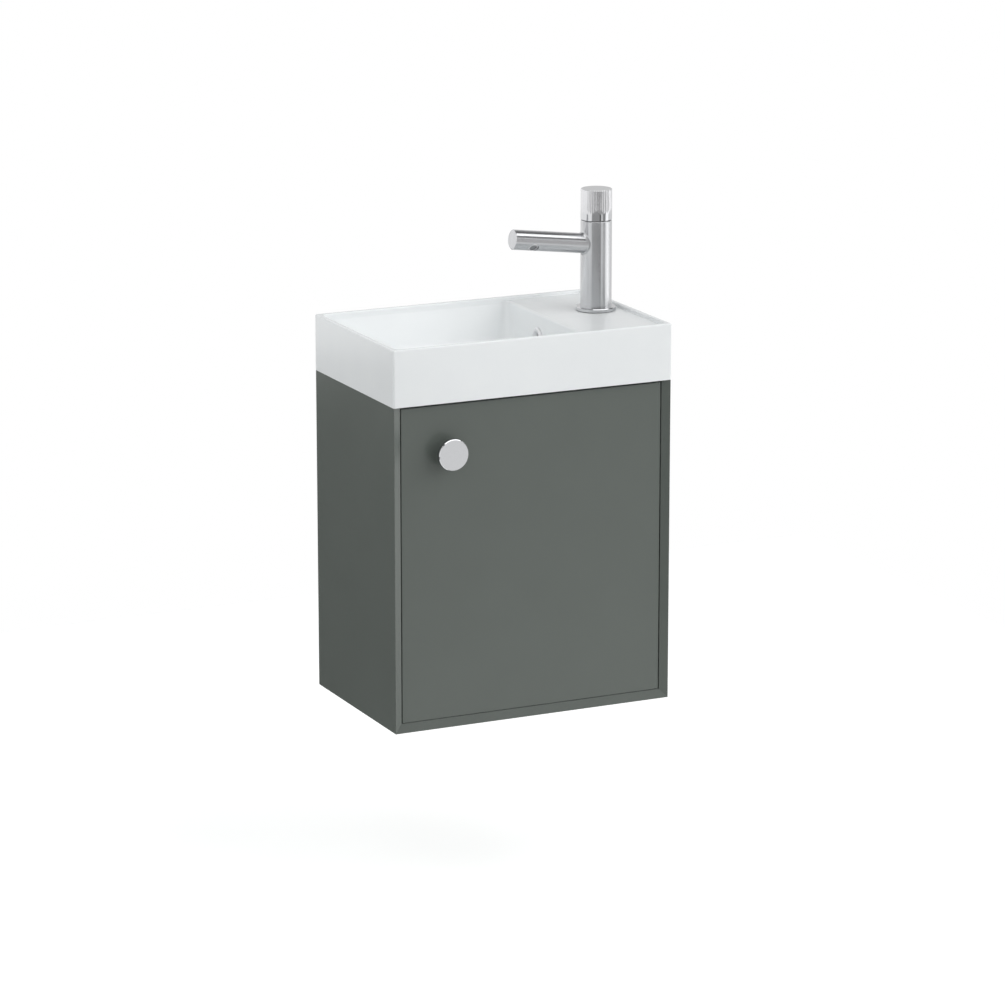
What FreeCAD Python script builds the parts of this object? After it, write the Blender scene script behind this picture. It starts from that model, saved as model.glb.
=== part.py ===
"""Wall-hung vanity unit: a lacquered cabinet with one inset door, a glazed basin standing on it,
a chrome pillar tap on the basin's deck, and the waste and bottle trap under the bowl.

Frame, in millimetres: x runs along the wall, y runs towards the wall, which stands at y = 0, so the
door faces -y, and z points up from the line of the two wall fixing holes.
"""
import FreeCAD, Part
import math
import os
import re

import Sketcher
from FreeCAD import Rotation, Vector

SIZES = [
    ("basin_width", 450, "Basin, along the wall"),
    ("basin_depth", 288, "Basin, from the wall to its front"),
    ("basin_height", 85, "Basin, outer skirt"),
    ("basin_corner", 2.5, "Upright outer corners of the basin"),
    ("rim", 8, "Thickness of the basin's rim"),
    ("rim_round", 2.4, "Rounding of the rim's edges"),
    ("deck_drop", 5, "Tap deck below the rim"),
    ("lip", 4.5, "Rounding of the edge between the deck and the bowl"),
    ("bowl_length", 304, "Bowl, along the wall"),
    ("bowl_depth", 65, "Bowl floor below the rim"),
    ("bowl_corner", 9, "Upright corners of the bowl at deck level"),
    ("floor_corner", 24, "Upright corners of the bowl at its floor"),
    ("bowl_toe", 11, "Rounding between the bowl's walls and floor"),
    ("wall_lean", 3, "Draft of the bowl's front and left walls"),
    ("back_lean", 13, "Draft of the bowl's back wall"),
    ("ceramic", 12, "Thickness of the deck and of the skirt round its hollow"),
    ("duct_wall", 26, "Hollow wall between bowl and deck, which holds the overflow duct"),
    ("duct", 10, "Overflow duct, clear height and depth"),
    ("duct_breadth", 22, "Overflow duct, along y"),
    ("duct_skin", 4, "Ceramic under the overflow duct"),
    ("dish_radius", 95, "Shallow dish that drains to the waste"),
    ("dish_depth", 3, "Fall of that dish"),
    ("overflow_height", 45, "Overflow above the basin's underside"),
    ("overflow_setback", 120, "Overflow from the wall"),
    ("overflow_ring", 28, "Overflow trim, outer diameter"),
    ("overflow_sleeve", 22, "Overflow trim, sleeve in the wall, outer diameter"),
    ("overflow_mouth", 18, "Overflow trim, wide end of its funnel"),
    ("overflow_bore", 11, "Overflow trim, clear diameter"),
    ("overflow_lip", 4, "Overflow trim, stands off the wall"),
    ("cabinet_inset", 1, "Cabinet inside the basin's outline"),
    ("cabinet_height", 490, "Cabinet, up to the basin"),
    ("panel", 12, "Lacquered board, sides"),
    ("bottom_board", 13, "Lacquered board, bottom"),
    ("front_land", 0.5, "Square strip left on the bevelled front edges"),
    ("fixing_drop", 55, "Wall fixing holes below the cabinet's top"),
    ("fixing_spacing", 300, "Distance between the wall fixing holes"),
    ("fixing_hole", 9, "Wall fixing hole, diameter"),
    ("rail_thickness", 16, "Rails between the sides"),
    ("hanging_rail_height", 90, "Upper back rail, which hangs on the wall"),
    ("lower_rail_height", 70, "Lower back rail"),
    ("stretcher_depth", 50, "Flat rail behind the door's top"),
    ("sweep_room", 2, "Room between the door's swinging edge and the rail behind it"),
    ("cleat", 15, "Glued square cleats in the bottom corners"),
    ("cleat_length", 200, "Glued square cleats, along y"),
    ("dowel", 8, "Wooden dowel, diameter"),
    ("dowel_in_panel", 8, "Dowel length in a side panel"),
    ("dowel_in_rail", 20, "Dowel length in a rail"),
    ("dowel_pitch", 28, "Distance between the two dowels of a rail's end"),
    ("glue_gap", 0.05, "Radial room round dowels and pressed pins"),
    ("shelf_drop", 280, "Shelf's underside below the cabinet's top"),
    ("shelf_thickness", 12, "Shelf"),
    ("shelf_setback", 6, "Shelf's front edge behind the flat rail's"),
    ("shelf_gap", 0.5, "Room at the shelf's ends and behind it"),
    ("pin", 5, "Shelf pin, diameter"),
    ("pin_in_panel", 8, "Shelf pin length in a side panel"),
    ("pin_tab", 10, "Shelf pin's flat tab, across and out of the panel"),
    ("pin_tab_thickness", 2, "Shelf pin's flat tab"),
    ("pin_inset", 40, "Shelf pins from the shelf's front and back edges"),
    ("pin_pitch", 32, "Spare pin holes above and below"),
    ("door_thickness", 16, "Door"),
    ("door_recess", 6, "Door's face, and the inner edge of the bevels, behind the cabinet's front"),
    ("door_gap", 1.5, "Joint between the door and the side boards"),
    ("door_low_gap", 0.5, "Joint between the door and the bottom board"),
    ("door_top_gap", 4, "Joint between the door and the basin"),
    ("door_round", 0.8, "Rounding of the door's front edges"),
    ("pivot_inset", 30, "Pivot from the door's right edge"),
    ("pivot_setback", 9.5, "Pivot behind the door's face"),
    ("pivot", 5, "Pivot pin, diameter"),
    ("pivot_hold", 22, "Pivot pin length in the door"),
    ("bush", 8, "Pivot bush, outer diameter"),
    ("bush_depth", 8, "Lower bush in the bottom board"),
    ("running_gap", 0.05, "Radial room in bushes and bearings"),
    ("arm_thickness", 2, "Steel arm that holds the upper pivot"),
    ("arm_width", 26, "Steel arm, along x"),
    ("arm_nose", 8, "Steel arm, past the pivot"),
    ("arm_grip", 36, "Steel arm, on the flat rail"),
    ("arm_room", 0.4, "Room between the steel arm and the basin"),
    ("wood_screw", 3.5, "Wood screw, shank diameter"),
    ("wood_screw_head", 7, "Wood screw, head diameter"),
    ("wood_screw_length", 12, "Wood screw, length in the board"),
    ("screw_room", 0.1, "Radial room round screws"),
    ("catch_width", 46, "Magnetic catch, along x"),
    ("catch_height", 13, "Magnetic catch, hangs below the flat rail"),
    ("catch_length", 44, "Magnetic catch, along y"),
    ("catch_side", 30, "Magnetic catch from the left board"),
    ("catch_ear", 4.5, "Catch's screws from its ends"),
    ("catch_screw_setback", 26, "Catch's screws behind its front"),
    ("pole_width", 32, "Catch's steel poles, along x"),
    ("pole_thickness", 1.5, "Catch's steel poles"),
    ("pole_length", 14, "Catch's steel poles, along y"),
    ("pole_proud", 1, "Poles in front of the catch's case"),
    ("strike_thickness", 1.5, "Steel strike plate on the door's back"),
    ("strike_width", 38, "Strike plate, along x"),
    ("head_inset", 0.15, "Strike screw's head below the plate's face"),
    ("knob_side", 73, "Knob from the door's left edge"),
    ("knob_drop", 70, "Knob below the door's top"),
    ("knob", 47, "Knob disc, diameter"),
    ("knob_disc", 8, "Knob disc, thickness"),
    ("knob_chamfer", 1, "Knob disc, front edge"),
    ("knob_reach", 25, "Knob, out of the door"),
    ("knob_stem", 15, "Knob stem, diameter"),
    ("knob_foot", 20, "Knob stem's foot, diameter"),
    ("knob_flare", 2, "Knob stem's foot, thickness, and flare under the disc"),
    ("knob_bolt", 4, "Knob bolt, diameter"),
    ("knob_bolt_hold", 12, "Knob bolt, length in the stem"),
    ("knob_bolt_head", 8.4, "Knob bolt, head diameter"),
    ("knob_bolt_head_height", 2.4, "Knob bolt, head"),
    ("knob_bolt_edge", 0.7, "Bevel round the knob bolt's head"),
    ("tap_side", 46, "Tap from the basin's right face"),
    ("tap_setback", 128, "Tap from the wall"),
    ("tap_hole", 32, "Tap hole in the deck"),
    ("gasket", 1, "Rubber gaskets"),
    ("gasket_inset", 2, "Gaskets inside the edge that they seal"),
    ("flange", 60.5, "Tap's base ring, diameter"),
    ("flange_height", 5, "Tap's base ring"),
    ("tap", 47, "Tap's column and handle, diameter"),
    ("column_height", 137.3, "Tap's column above the deck"),
    ("tap_height", 184.4, "Tap's overall height above the deck"),
    ("handle_gap", 1.2, "Open joint under the handle"),
    ("handle_chamfer", 0.8, "Edges of column and handle"),
    ("flute_length", 30, "Flutes, down from the handle's top"),
    ("flute", 3, "Flute cutter, diameter"),
    ("flute_bite", 0.5, "Flute depth"),
    ("flute_count", 48, "Flutes round the handle"),
    ("hub_clear", 6, "Hollow in the handle's underside"),
    ("hub_wall", 6, "Handle's wall round that hollow"),
    ("spout", 30, "Spout, diameter"),
    ("spout_rise", 100.3, "Spout's axis above the deck, at the column's axis"),
    ("spout_tilt", 7.3, "Spout, degrees above level"),
    ("spout_reach", 139, "Spout's end from the column's axis, level"),
    ("spout_wall", 4, "Spout, wall thickness"),
    ("spout_root", 4, "Rounding where the spout leaves the column"),
    ("outlet_reach", 109, "Outlet from the column's axis, level"),
    ("outlet_turn", 45, "Outlet, degrees from straight down towards the front"),
    ("aerator", 16, "Aerator, diameter"),
    ("aerator_wall", 2, "Aerator ring, wall thickness"),
    ("aerator_sink", 1.6, "Aerator's face under the spout's skin"),
    ("aerator_hold", 7, "Aerator inside the spout"),
    ("aerator_edge", 0.6, "Bevel round the aerator ring"),
    ("screen", 1.5, "Aerator's screen, thickness"),
    ("screen_inset", 1, "Aerator's screen inside its ring"),
    ("valve_bore", 30, "Valve chamber in the column"),
    ("valve_depth", 57, "Valve chamber, down from the column's top"),
    ("valve_collar", 16, "Headwork's collar, height"),
    ("valve_barrel", 22, "Headwork's barrel, diameter"),
    ("spindle", 8, "Valve spindle, diameter"),
    ("spindle_hold", 34, "Valve spindle, length in the handle"),
    ("disc", 4, "Ceramic valve discs, thickness"),
    ("grub", 4, "Handle's grub screw, diameter"),
    ("grub_length", 10, "Handle's grub screw"),
    ("tail", 20.9, "Threaded tail, diameter"),
    ("tail_length", 58, "Threaded tail below the deck's face"),
    ("tail_free", 30, "Free thread at the tail's end, for the supply"),
    ("tail_relief", 1, "Groove between that thread and the nut's"),
    ("waterway", 13, "Bore of the tail"),
    ("tail_washer", 46, "Washer under the deck, diameter"),
    ("tail_washer_thickness", 3, "Washer under the deck"),
    ("backnut", 27, "Tap's backnut, across flats"),
    ("backnut_height", 8, "Tap's backnut"),
    ("waste_hole", 46, "Waste hole in the bowl"),
    ("waste_flange", 63, "Waste's flange, diameter"),
    ("waste_flange_height", 2.6, "Waste's flange"),
    ("waste_edge", 1, "Bevel round the waste's flange"),
    ("waste_flare", 2, "Flare of the waste's mouth"),
    ("waste_tube", 41.9, "Waste's threaded tube, diameter"),
    ("waste_wall", 3, "Waste's threaded tube, wall thickness"),
    ("waste_length", 66, "Waste's tube below its flange"),
    ("waste_seal", 6, "Rubber seal under the basin"),
    ("waste_seal_outer", 64, "Rubber seal under the basin, diameter"),
    ("waste_nut", 60, "Waste's backnut, diameter"),
    ("waste_nut_height", 9, "Waste's backnut"),
    ("spider", 4, "Bridge across the waste's tube"),
    ("spider_drop", 32, "That bridge below the flange"),
    ("plug", 58, "Waste plug, diameter"),
    ("plug_height", 6, "Waste plug's dome"),
    ("plug_lift", 8, "Waste plug's travel"),
    ("plug_stem", 10, "Waste plug's stem, diameter"),
    ("plug_edge", 1, "Bevel under the plug's rim"),
    ("plug_seal", 3, "Rubber ring under the plug"),
    ("plug_seal_outer", 52, "Rubber ring under the plug, diameter"),
    ("trap_pipe", 32, "Trap pipes, diameter"),
    ("trap_pipe_wall", 1.5, "Trap pipes, wall thickness"),
    ("trap_overlap", 10, "Trap's inlet pipe inside the waste's tube"),
    ("trap_room", 20, "Trap's outlet pipe below the hanging rail"),
    ("trap_height", 88, "Bottle, height"),
    ("trap", 62, "Bottle, diameter"),
    ("trap_wall", 2.5, "Bottle, wall thickness"),
    ("trap_dip", 55, "Inlet pipe's end below the bottle's top"),
    ("trap_outlet_drop", 22, "Outlet's axis below the bottle's top"),
    ("trap_outlet_reach", 18, "Outlet's socket, out of the bottle"),
    ("trap_cup_height", 20, "Screw cup, height"),
    ("trap_nut_height", 15, "Trap's union nuts, height"),
    ("trap_nut_wall", 5, "Trap's union nuts, wall thickness"),
    ("trap_gap", 0.2, "Radial room between the trap's pieces"),
    ("trap_bead", 1, "Rolled bead that stops the outlet pipe at its nut"),
]

PLACES = {
    # Cabinet
    "cab_half": "basin_width / 2 - cabinet_inset",
    "cab_front": "cabinet_inset - basin_depth",
    "cab_top": "fixing_drop",
    "cab_base": "fixing_drop - cabinet_height",
    "inner_half": "cab_half - panel",
    "inner_base": "cab_base + bottom_board",
    "rail_low": "cab_top - rail_thickness",
    # Door and its pivot
    "door_half": "inner_half - door_gap",
    "door_front": "cab_front + door_recess",
    "door_back": "door_front + door_thickness",
    "door_low": "inner_base + door_low_gap",
    "door_high": "cab_top - door_top_gap",
    "pivot_x": "door_half - pivot_inset",
    "pivot_y": "door_front + pivot_setback",
    "door_sweep": "sqrt(pivot_inset ^ 2 + pivot_setback ^ 2)",
    "stretcher_front": "pivot_y + door_sweep + sweep_room",
    "stretcher_back": "stretcher_front + stretcher_depth",
    "arm_high": "cab_top - arm_room",
    "arm_low": "arm_high - arm_thickness",
    "arm_back": "stretcher_front + arm_grip",
    "knob_x": "knob_side - door_half",
    "knob_z": "door_high - knob_drop",
    "catch_x": "catch_side + catch_width / 2 - inner_half",
    "catch_z": "rail_low - catch_height / 2",
    "pole_front": "door_back + strike_thickness",
    "catch_front": "pole_front + pole_proud",
    # Shelf
    "shelf_low": "cab_top - shelf_drop",
    "shelf_front": "stretcher_front + shelf_setback",
    "shelf_back": "0 - rail_thickness - shelf_gap",
    # Basin
    "basin_half": "basin_width / 2",
    "basin_high": "cab_top + basin_height",
    "deck": "basin_high - deck_drop",
    "bowl_left": "rim - basin_half",
    "bowl_right": "bowl_left + bowl_length",
    "bowl_front": "rim - basin_depth",
    "bowl_floor": "basin_high - bowl_depth",
    "deck_under": "deck - ceramic",
    "lip_level": "deck - lip",
    "duct_low": "cab_top + duct_skin",
    "duct_middle": "bowl_right + duct_wall / 2",
    "overflow_y": "0 - overflow_setback",
    "overflow_z": "cab_top + overflow_height",
    # Waste and plug
    "waste_x": "(bowl_left + bowl_right) / 2",
    "waste_y": "0 - basin_depth / 2",
    "waste_seat": "bowl_floor - dish_depth",
    "waste_under": "waste_seat + gasket",
    "waste_end": "waste_under - waste_length",
    "waste_face": "waste_under + waste_flange_height",
    "spider_top": "waste_under - spider_drop",
    "plug_low": "waste_face + plug_lift + plug_seal",
    # Bottle trap
    "trap_outlet_z": "cab_top - hanging_rail_height - trap_room - pipe_radius",
    "trap_high": "trap_outlet_z + trap_outlet_drop",
    "trap_low": "trap_high - trap_height",
    "trap_radius": "trap / 2",
    "pipe_radius": "trap_pipe / 2",
    "socket_radius": "pipe_radius + trap_gap + trap_wall",
    "socket_end": "waste_y + trap_radius + trap_outlet_reach",
    "nut_bore": "socket_radius + trap_gap",
    # Tap
    "tap_x": "basin_half - tap_side",
    "tap_y": "0 - tap_setback",
    "tap_radius": "tap / 2",
    "flange_low": "deck + gasket",
    "column_low": "flange_low + flange_height",
    "column_high": "deck + column_height",
    "tail_end": "deck - tail_length - column_low",
    "handle_low": "column_high + handle_gap",
    "handle_high": "deck + tap_height",
    "handle_height": "handle_high - handle_low",
    "spout_z": "deck + spout_rise",
    "spout_length": "spout_reach / cos(spout_tilt)",
    "outlet_x": "tap_x - outlet_reach",
    "outlet_z": "spout_z + outlet_reach * tan(spout_tilt)",
    "screen_low": "spout / 2 - aerator_sink - screen_inset",
    "valve_low": "column_high - valve_depth",
    "washer_low": "deck_under - tail_washer_thickness",
}

TURNS = {
    "z": Rotation(),
    "x": Rotation(Vector(0, 1, 0), 90),
    "y": Rotation(Vector(1, 0, 0), -90),
    "-y": Rotation(Vector(1, 0, 0), 90),
}
TOWARDS_SPOUT = Vector(0, -1, 0)
TOWARDS_FRONT = Vector(1, 0, 0)
ALONG_SPOUT = "90 - spout_tilt"
OUT_OF_SPOUT = "180 - outlet_turn"

doc = FreeCAD.newDocument("vanity_unit")
sheet = doc.addObject("Spreadsheet::Sheet", "sizes")
for row, (alias, size, meaning) in enumerate(SIZES, start=1):
    sheet.set(f"A{row}", meaning)
    sheet.set(f"B{row}", str(size))
    sheet.setAlias(f"B{row}", alias)
doc.recompute()
ALIASES = {alias for alias, size, meaning in SIZES}
pieces = {}


def bound(formula):
    """Write a formula of size and place names as an expression on the sheet's cells."""
    def in_full(match):
        word = match.group()
        if word in PLACES:
            return "(" + bound(PLACES[word]) + ")"
        return "sizes." + word if word in ALIASES else word
    return re.sub(r"[a-z][a-z_]*", in_full, str(formula))


def number(formula):
    return float(sheet.evalExpression(bound(formula)))


def piece(name, solid):
    """Register a finished sub-part under its own label."""
    solid.Label = name
    pieces[name] = solid
    return solid


def put(solid, x, y, z):
    for axis, formula in zip("xyz", (x, y, z)):
        solid.setExpression("Placement.Base." + axis, bound(formula))


def lean(solid, axis, degrees):
    """Turn an upright solid about an axis through its foot, by a formula in degrees."""
    solid.Placement.Rotation = Rotation(axis, number(degrees))
    solid.setExpression("Placement.Rotation.Angle", bound(degrees))


def box(name, x, y, z):
    """A block between a low and a high place on each axis."""
    solid = doc.addObject("Part::Box", name)
    for side, (low, high) in zip(("Length", "Width", "Height"), (x, y, z)):
        solid.setExpression(side, bound(f"({high}) - ({low})"))
    put(solid, x[0], y[0], z[0])
    return solid


def cylinder(name, radius, foot, length, towards="z"):
    solid = doc.addObject("Part::Cylinder", name)
    solid.setExpression("Radius", bound(radius))
    solid.setExpression("Height", bound(length))
    solid.Placement.Rotation = TURNS[towards]
    put(solid, *foot)
    return solid


def join(name, *solids):
    whole = doc.addObject("Part::MultiFuse", name)
    whole.Shapes = list(solids)
    whole.Refine = True
    return whole


def cut(name, base, *tools):
    rest = doc.addObject("Part::Cut", name)
    rest.Base = base
    rest.Tool = tools[0] if len(tools) == 1 else join(name + "_tools", *tools)
    rest.Refine = True
    return rest


def group(name, solids):
    """Several separate solids of one kind in one sub-part."""
    several = doc.addObject("Part::Compound", name)
    several.Links = list(solids)
    return piece(name, several)


def new_sketch(body, name, role, offset="0"):
    sketch = body.newObject("Sketcher::SketchObject", name)
    plane = next(part for part in body.Origin.OriginFeatures if part.Role == role)
    sketch.AttachmentSupport = [(plane, "")]
    sketch.MapMode = "FlatFace"
    sketch.setExpression("AttachmentOffset.Base.z", bound(offset))
    return sketch


def hold(sketch, kind, formula, *geometry):
    """Add one dimension to a sketch and tie it to a formula."""
    index = sketch.addConstraint(Sketcher.Constraint(kind, *geometry, number(formula)))
    sketch.setExpression(f"Constraints[{index}]", bound(formula))


def polygon(body, name, role, points):
    """A closed outline of straight lines, each corner held from the origin."""
    sketch = new_sketch(body, name, role)
    corners = [Vector(number(across), number(up), 0) for across, up in points]
    count = len(points)
    for index, corner in enumerate(corners):
        sketch.addGeometry(Part.LineSegment(corner, corners[(index + 1) % count]), False)
    for index in range(count):
        sketch.addConstraint(Sketcher.Constraint("Coincident", index, 2, (index + 1) % count, 1))
    for index, (across, up) in enumerate(points):
        hold(sketch, "DistanceX", across, -1, 1, index, 1)
        hold(sketch, "DistanceY", up, -1, 1, index, 1)
    return sketch


def rounded_rectangle(body, name, height, x, y, corner):
    """A level rectangle with round corners, at a height."""
    sketch = new_sketch(body, name, "XY_Plane", height)
    radius = number(corner)
    left, right = number(x[0]), number(x[1])
    low, high = number(y[0]), number(y[1])
    centres = [
        Vector(right - radius, low + radius, 0), Vector(right - radius, high - radius, 0),
        Vector(left + radius, high - radius, 0), Vector(left + radius, low + radius, 0),
    ]
    outward = [Vector(0, -1, 0), Vector(1, 0, 0), Vector(0, 1, 0), Vector(-1, 0, 0)]
    quarter = math.pi / 2
    for turn in range(4):
        circle = Part.Circle(centres[turn], Vector(0, 0, 1), radius)
        start = centres[turn - 1] + outward[turn] * radius
        sketch.addGeometry(Part.LineSegment(start, centres[turn] + outward[turn] * radius), False)
        sketch.addGeometry(Part.ArcOfCircle(circle, quarter * (turn - 1), quarter * turn), False)
    for edge in range(8):
        sketch.addConstraint(Sketcher.Constraint("Tangent", edge, 2, (edge + 1) % 8, 1))
    for line, kind in ((0, "Horizontal"), (2, "Vertical"), (4, "Horizontal"), (6, "Vertical")):
        sketch.addConstraint(Sketcher.Constraint(kind, line))
    for arc in (3, 5, 7):
        sketch.addConstraint(Sketcher.Constraint("Equal", 1, arc))
    hold(sketch, "Radius", corner, 1)
    hold(sketch, "DistanceY", y[0], -1, 1, 0, 1)
    hold(sketch, "DistanceX", x[1], -1, 1, 2, 1)
    hold(sketch, "DistanceY", y[1], -1, 1, 4, 1)
    hold(sketch, "DistanceX", x[0], -1, 1, 6, 1)
    return sketch


def turned(name, profile, foot, towards="z"):
    """A body of revolution from (radius, height) pairs, standing on its foot."""
    body = doc.addObject("PartDesign::Body", name)
    body.Placement.Rotation = TURNS[towards]
    put(body, *foot)
    sketch = polygon(body, name + "_profile", "XZ_Plane", profile)
    lathe = body.newObject("PartDesign::Revolution", name + "_turned")
    lathe.Profile = sketch
    lathe.ReferenceAxis = (sketch, ["V_Axis"])
    lathe.Angle = 360
    return body


def ring(name, outer, inner, foot, height, towards="z"):
    return turned(name, [(inner, "0"), (outer, "0"), (outer, height), (inner, height)], foot, towards)


def padded(name, role, points, length, foot, symmetric=False):
    """A body of one constant section."""
    body = doc.addObject("PartDesign::Body", name)
    put(body, *foot)
    pad = body.newObject("PartDesign::Pad", name + "_pad")
    pad.Profile = polygon(body, name + "_section", role, points)
    pad.setExpression("Length", bound(length))
    pad.Midplane = symmetric
    return body


def edges_of(feature, wanted):
    """Names of a feature's edges whose box passes a test."""
    doc.recompute()
    edges = enumerate(feature.Shape.Edges, start=1)
    return [f"Edge{index}" for index, edge in edges if wanted(edge.BoundBox)]


def round_edges(body, name, feature, wanted, radius):
    fillet = body.newObject("PartDesign::Fillet", name)
    fillet.Base = (feature, edges_of(feature, wanted))
    fillet.setExpression("Radius", bound(radius))
    return fillet


def level_at(height):
    """A test for edges that lie flat at a height."""
    target = number(height)
    return lambda room: abs(room.ZMin - target) < 1e-4 and abs(room.ZMax - target) < 1e-4


# Dowels: two in each end of the three rails, half in the rail and half in the side panel
RAIL_MIDDLE = "0 - rail_thickness / 2"
HANGING_MIDDLE = "cab_top - hanging_rail_height / 2"
LOWER_MIDDLE = "inner_base + lower_rail_height / 2"
STRETCHER_MIDDLE = "stretcher_front + stretcher_depth / 2"
RAIL_JOINTS = {
    "hanging_rail": [(RAIL_MIDDLE, f"{HANGING_MIDDLE} {sign} dowel_pitch / 2") for sign in "-+"],
    "lower_back_rail": [(RAIL_MIDDLE, f"{LOWER_MIDDLE} {sign} dowel_pitch / 2") for sign in "-+"],
    "front_stretcher": [(f"{STRETCHER_MIDDLE} {sign} dowel_pitch / 2", "rail_low + rail_thickness / 2")
                        for sign in "-+"],
}


def dowel_bar(name, side, y, z, room):
    """A dowel, or with some room the hole for one, across a side panel's inner face."""
    start = "inner_half - dowel_in_rail" if side == "right" else "0 - inner_half - dowel_in_panel"
    length = f"dowel_in_rail + dowel_in_panel + 2 * {room}"
    return cylinder(name, f"dowel / 2 + {room}", (f"{start} - {room}", y, z), length, "x")


def dowel_holes(rail, side):
    return [dowel_bar(f"{rail}_{side}_hole_{index}", side, y, z, "glue_gap")
            for index, (y, z) in enumerate(RAIL_JOINTS[rail])]


group("rail_dowels", [dowel_bar(f"{rail}_{side}_dowel_{index}", side, y, z, "0")
                      for rail in RAIL_JOINTS
                      for side in ("left", "right")
                      for index, (y, z) in enumerate(RAIL_JOINTS[rail])])

# Shelf pins: a round peg in the side panel with a flat tab under the shelf
PIN_COLUMNS = {"front": "shelf_front + pin_inset", "back": "shelf_back - pin_inset"}
PIN_HEIGHT = "shelf_low - pin_tab_thickness - pin / 2"


def shelf_pin(side, column):
    y = PIN_COLUMNS[column]
    name = f"{side}_{column}_pin"
    tab_x = ("inner_half - pin_tab", "inner_half")
    peg_x = "inner_half - pin_tab"
    if side == "left":
        tab_x = ("0 - inner_half", "pin_tab - inner_half")
        peg_x = "0 - inner_half - pin_in_panel"
    peg = cylinder(name + "_peg", "pin / 2", (peg_x, y, PIN_HEIGHT), "pin_tab + pin_in_panel", "x")
    tab = box(name + "_tab", tab_x, (f"{y} - pin_tab / 2", f"{y} + pin_tab / 2"),
              ("shelf_low - pin_tab_thickness - glue_gap", "shelf_low"))
    web = box(name + "_web", tab_x, (f"{y} - pin / 4", f"{y} + pin / 4"),
              (PIN_HEIGHT, "shelf_low - pin_tab_thickness / 2"))
    return join(name, peg, tab, web)


def pin_holes(side):
    start = "inner_half" if side == "right" else "0 - inner_half - pin_in_panel"
    holes = []
    for column, y in PIN_COLUMNS.items():
        for step in (-1, 0, 1):
            mouth = (start, y, f"{PIN_HEIGHT} + {step} * pin_pitch")
            name = f"{side}_{column}_hole_{step + 1}"
            holes.append(cylinder(name, "pin / 2 + glue_gap", mouth, "pin_in_panel", "x"))
    return holes


group("shelf_pins", [shelf_pin(side, column) for side in ("left", "right") for column in PIN_COLUMNS])

# Side panels: lacquered boards, front edge bevelled inwards to the door's face, lower end mitred
for side, sign in (("left", "-1"), ("right", "1")):
    blank = padded(f"{side}_side_blank", "XY_Plane", [
        (f"{sign} * cab_half", "cab_front"),
        (f"{sign} * cab_half", "0"),
        (f"{sign} * inner_half", "0"),
        (f"{sign} * inner_half", "door_front"),
        (f"{sign} * (cab_half - front_land)", "cab_front"),
    ], "cabinet_height", ("0", "0", "cab_base"))
    mitre = blank.newObject("PartDesign::Pocket", f"{side}_side_mitre")
    mitre.Profile = polygon(blank, f"{side}_side_mitre_section", "XZ_Plane", [
        (f"{sign} * cab_half", "0"),
        (f"{sign} * inner_half", "bottom_board"),
        (f"{sign} * inner_half", "0"),
    ])
    mitre.Type = "ThroughAll"
    mitre.Midplane = True
    rail_holes = [hole for rail in RAIL_JOINTS for hole in dowel_holes(rail, side)]
    piece(f"{side}_side_panel", cut(f"{side}_side_drilled", blank, *rail_holes, *pin_holes(side)))

# Bottom board: the same bevel along its front edge, both ends mitred to the sides
floor_blank = padded("bottom_blank", "YZ_Plane", [
    ("cab_front", "0"),
    ("0", "0"),
    ("0", "bottom_board"),
    ("door_front", "bottom_board"),
    ("cab_front", "front_land"),
], "2 * cab_half", ("0", "0", "cab_base"), symmetric=True)
for side, sign in (("left", "-1"), ("right", "1")):
    mitre = floor_blank.newObject("PartDesign::Pocket", f"bottom_{side}_mitre")
    mitre.Profile = polygon(floor_blank, f"bottom_{side}_mitre_section", "XZ_Plane", [
        (f"{sign} * cab_half", "0"),
        (f"{sign} * cab_half", "bottom_board"),
        (f"{sign} * inner_half", "bottom_board"),
    ])
    mitre.Type = "ThroughAll"
    mitre.Midplane = True
bush_hole = cylinder("bush_hole", "bush / 2 + glue_gap", ("pivot_x", "pivot_y", "inner_base - bush_depth"),
                     "bush_depth")
piece("bottom_panel", cut("bottom_drilled", floor_blank, bush_hole))

# Rails: the hanging rail with its two wall holes, the lower back rail, and the flat rail behind the door
BETWEEN_SIDES = ("0 - inner_half", "inner_half")
AT_WALL = ("0 - rail_thickness", "0")
wall_holes = [cylinder(f"wall_hole_{side}", "fixing_hole / 2",
                       (f"{sign} fixing_spacing / 2", AT_WALL[0], "0"), "rail_thickness", "y")
              for side, sign in (("left", "0 -"), ("right", "0 +"))]
hanging_blank = box("hanging_blank", BETWEEN_SIDES, AT_WALL, ("cab_top - hanging_rail_height", "cab_top"))
piece("hanging_rail", cut("hanging_drilled", hanging_blank, *wall_holes,
                          *dowel_holes("hanging_rail", "left"), *dowel_holes("hanging_rail", "right")))
lower_blank = box("lower_rail_blank", BETWEEN_SIDES, AT_WALL,
                  ("inner_base", "inner_base + lower_rail_height"))
piece("lower_back_rail", cut("lower_rail_drilled", lower_blank, *dowel_holes("lower_back_rail", "left"),
                             *dowel_holes("lower_back_rail", "right")))

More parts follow.
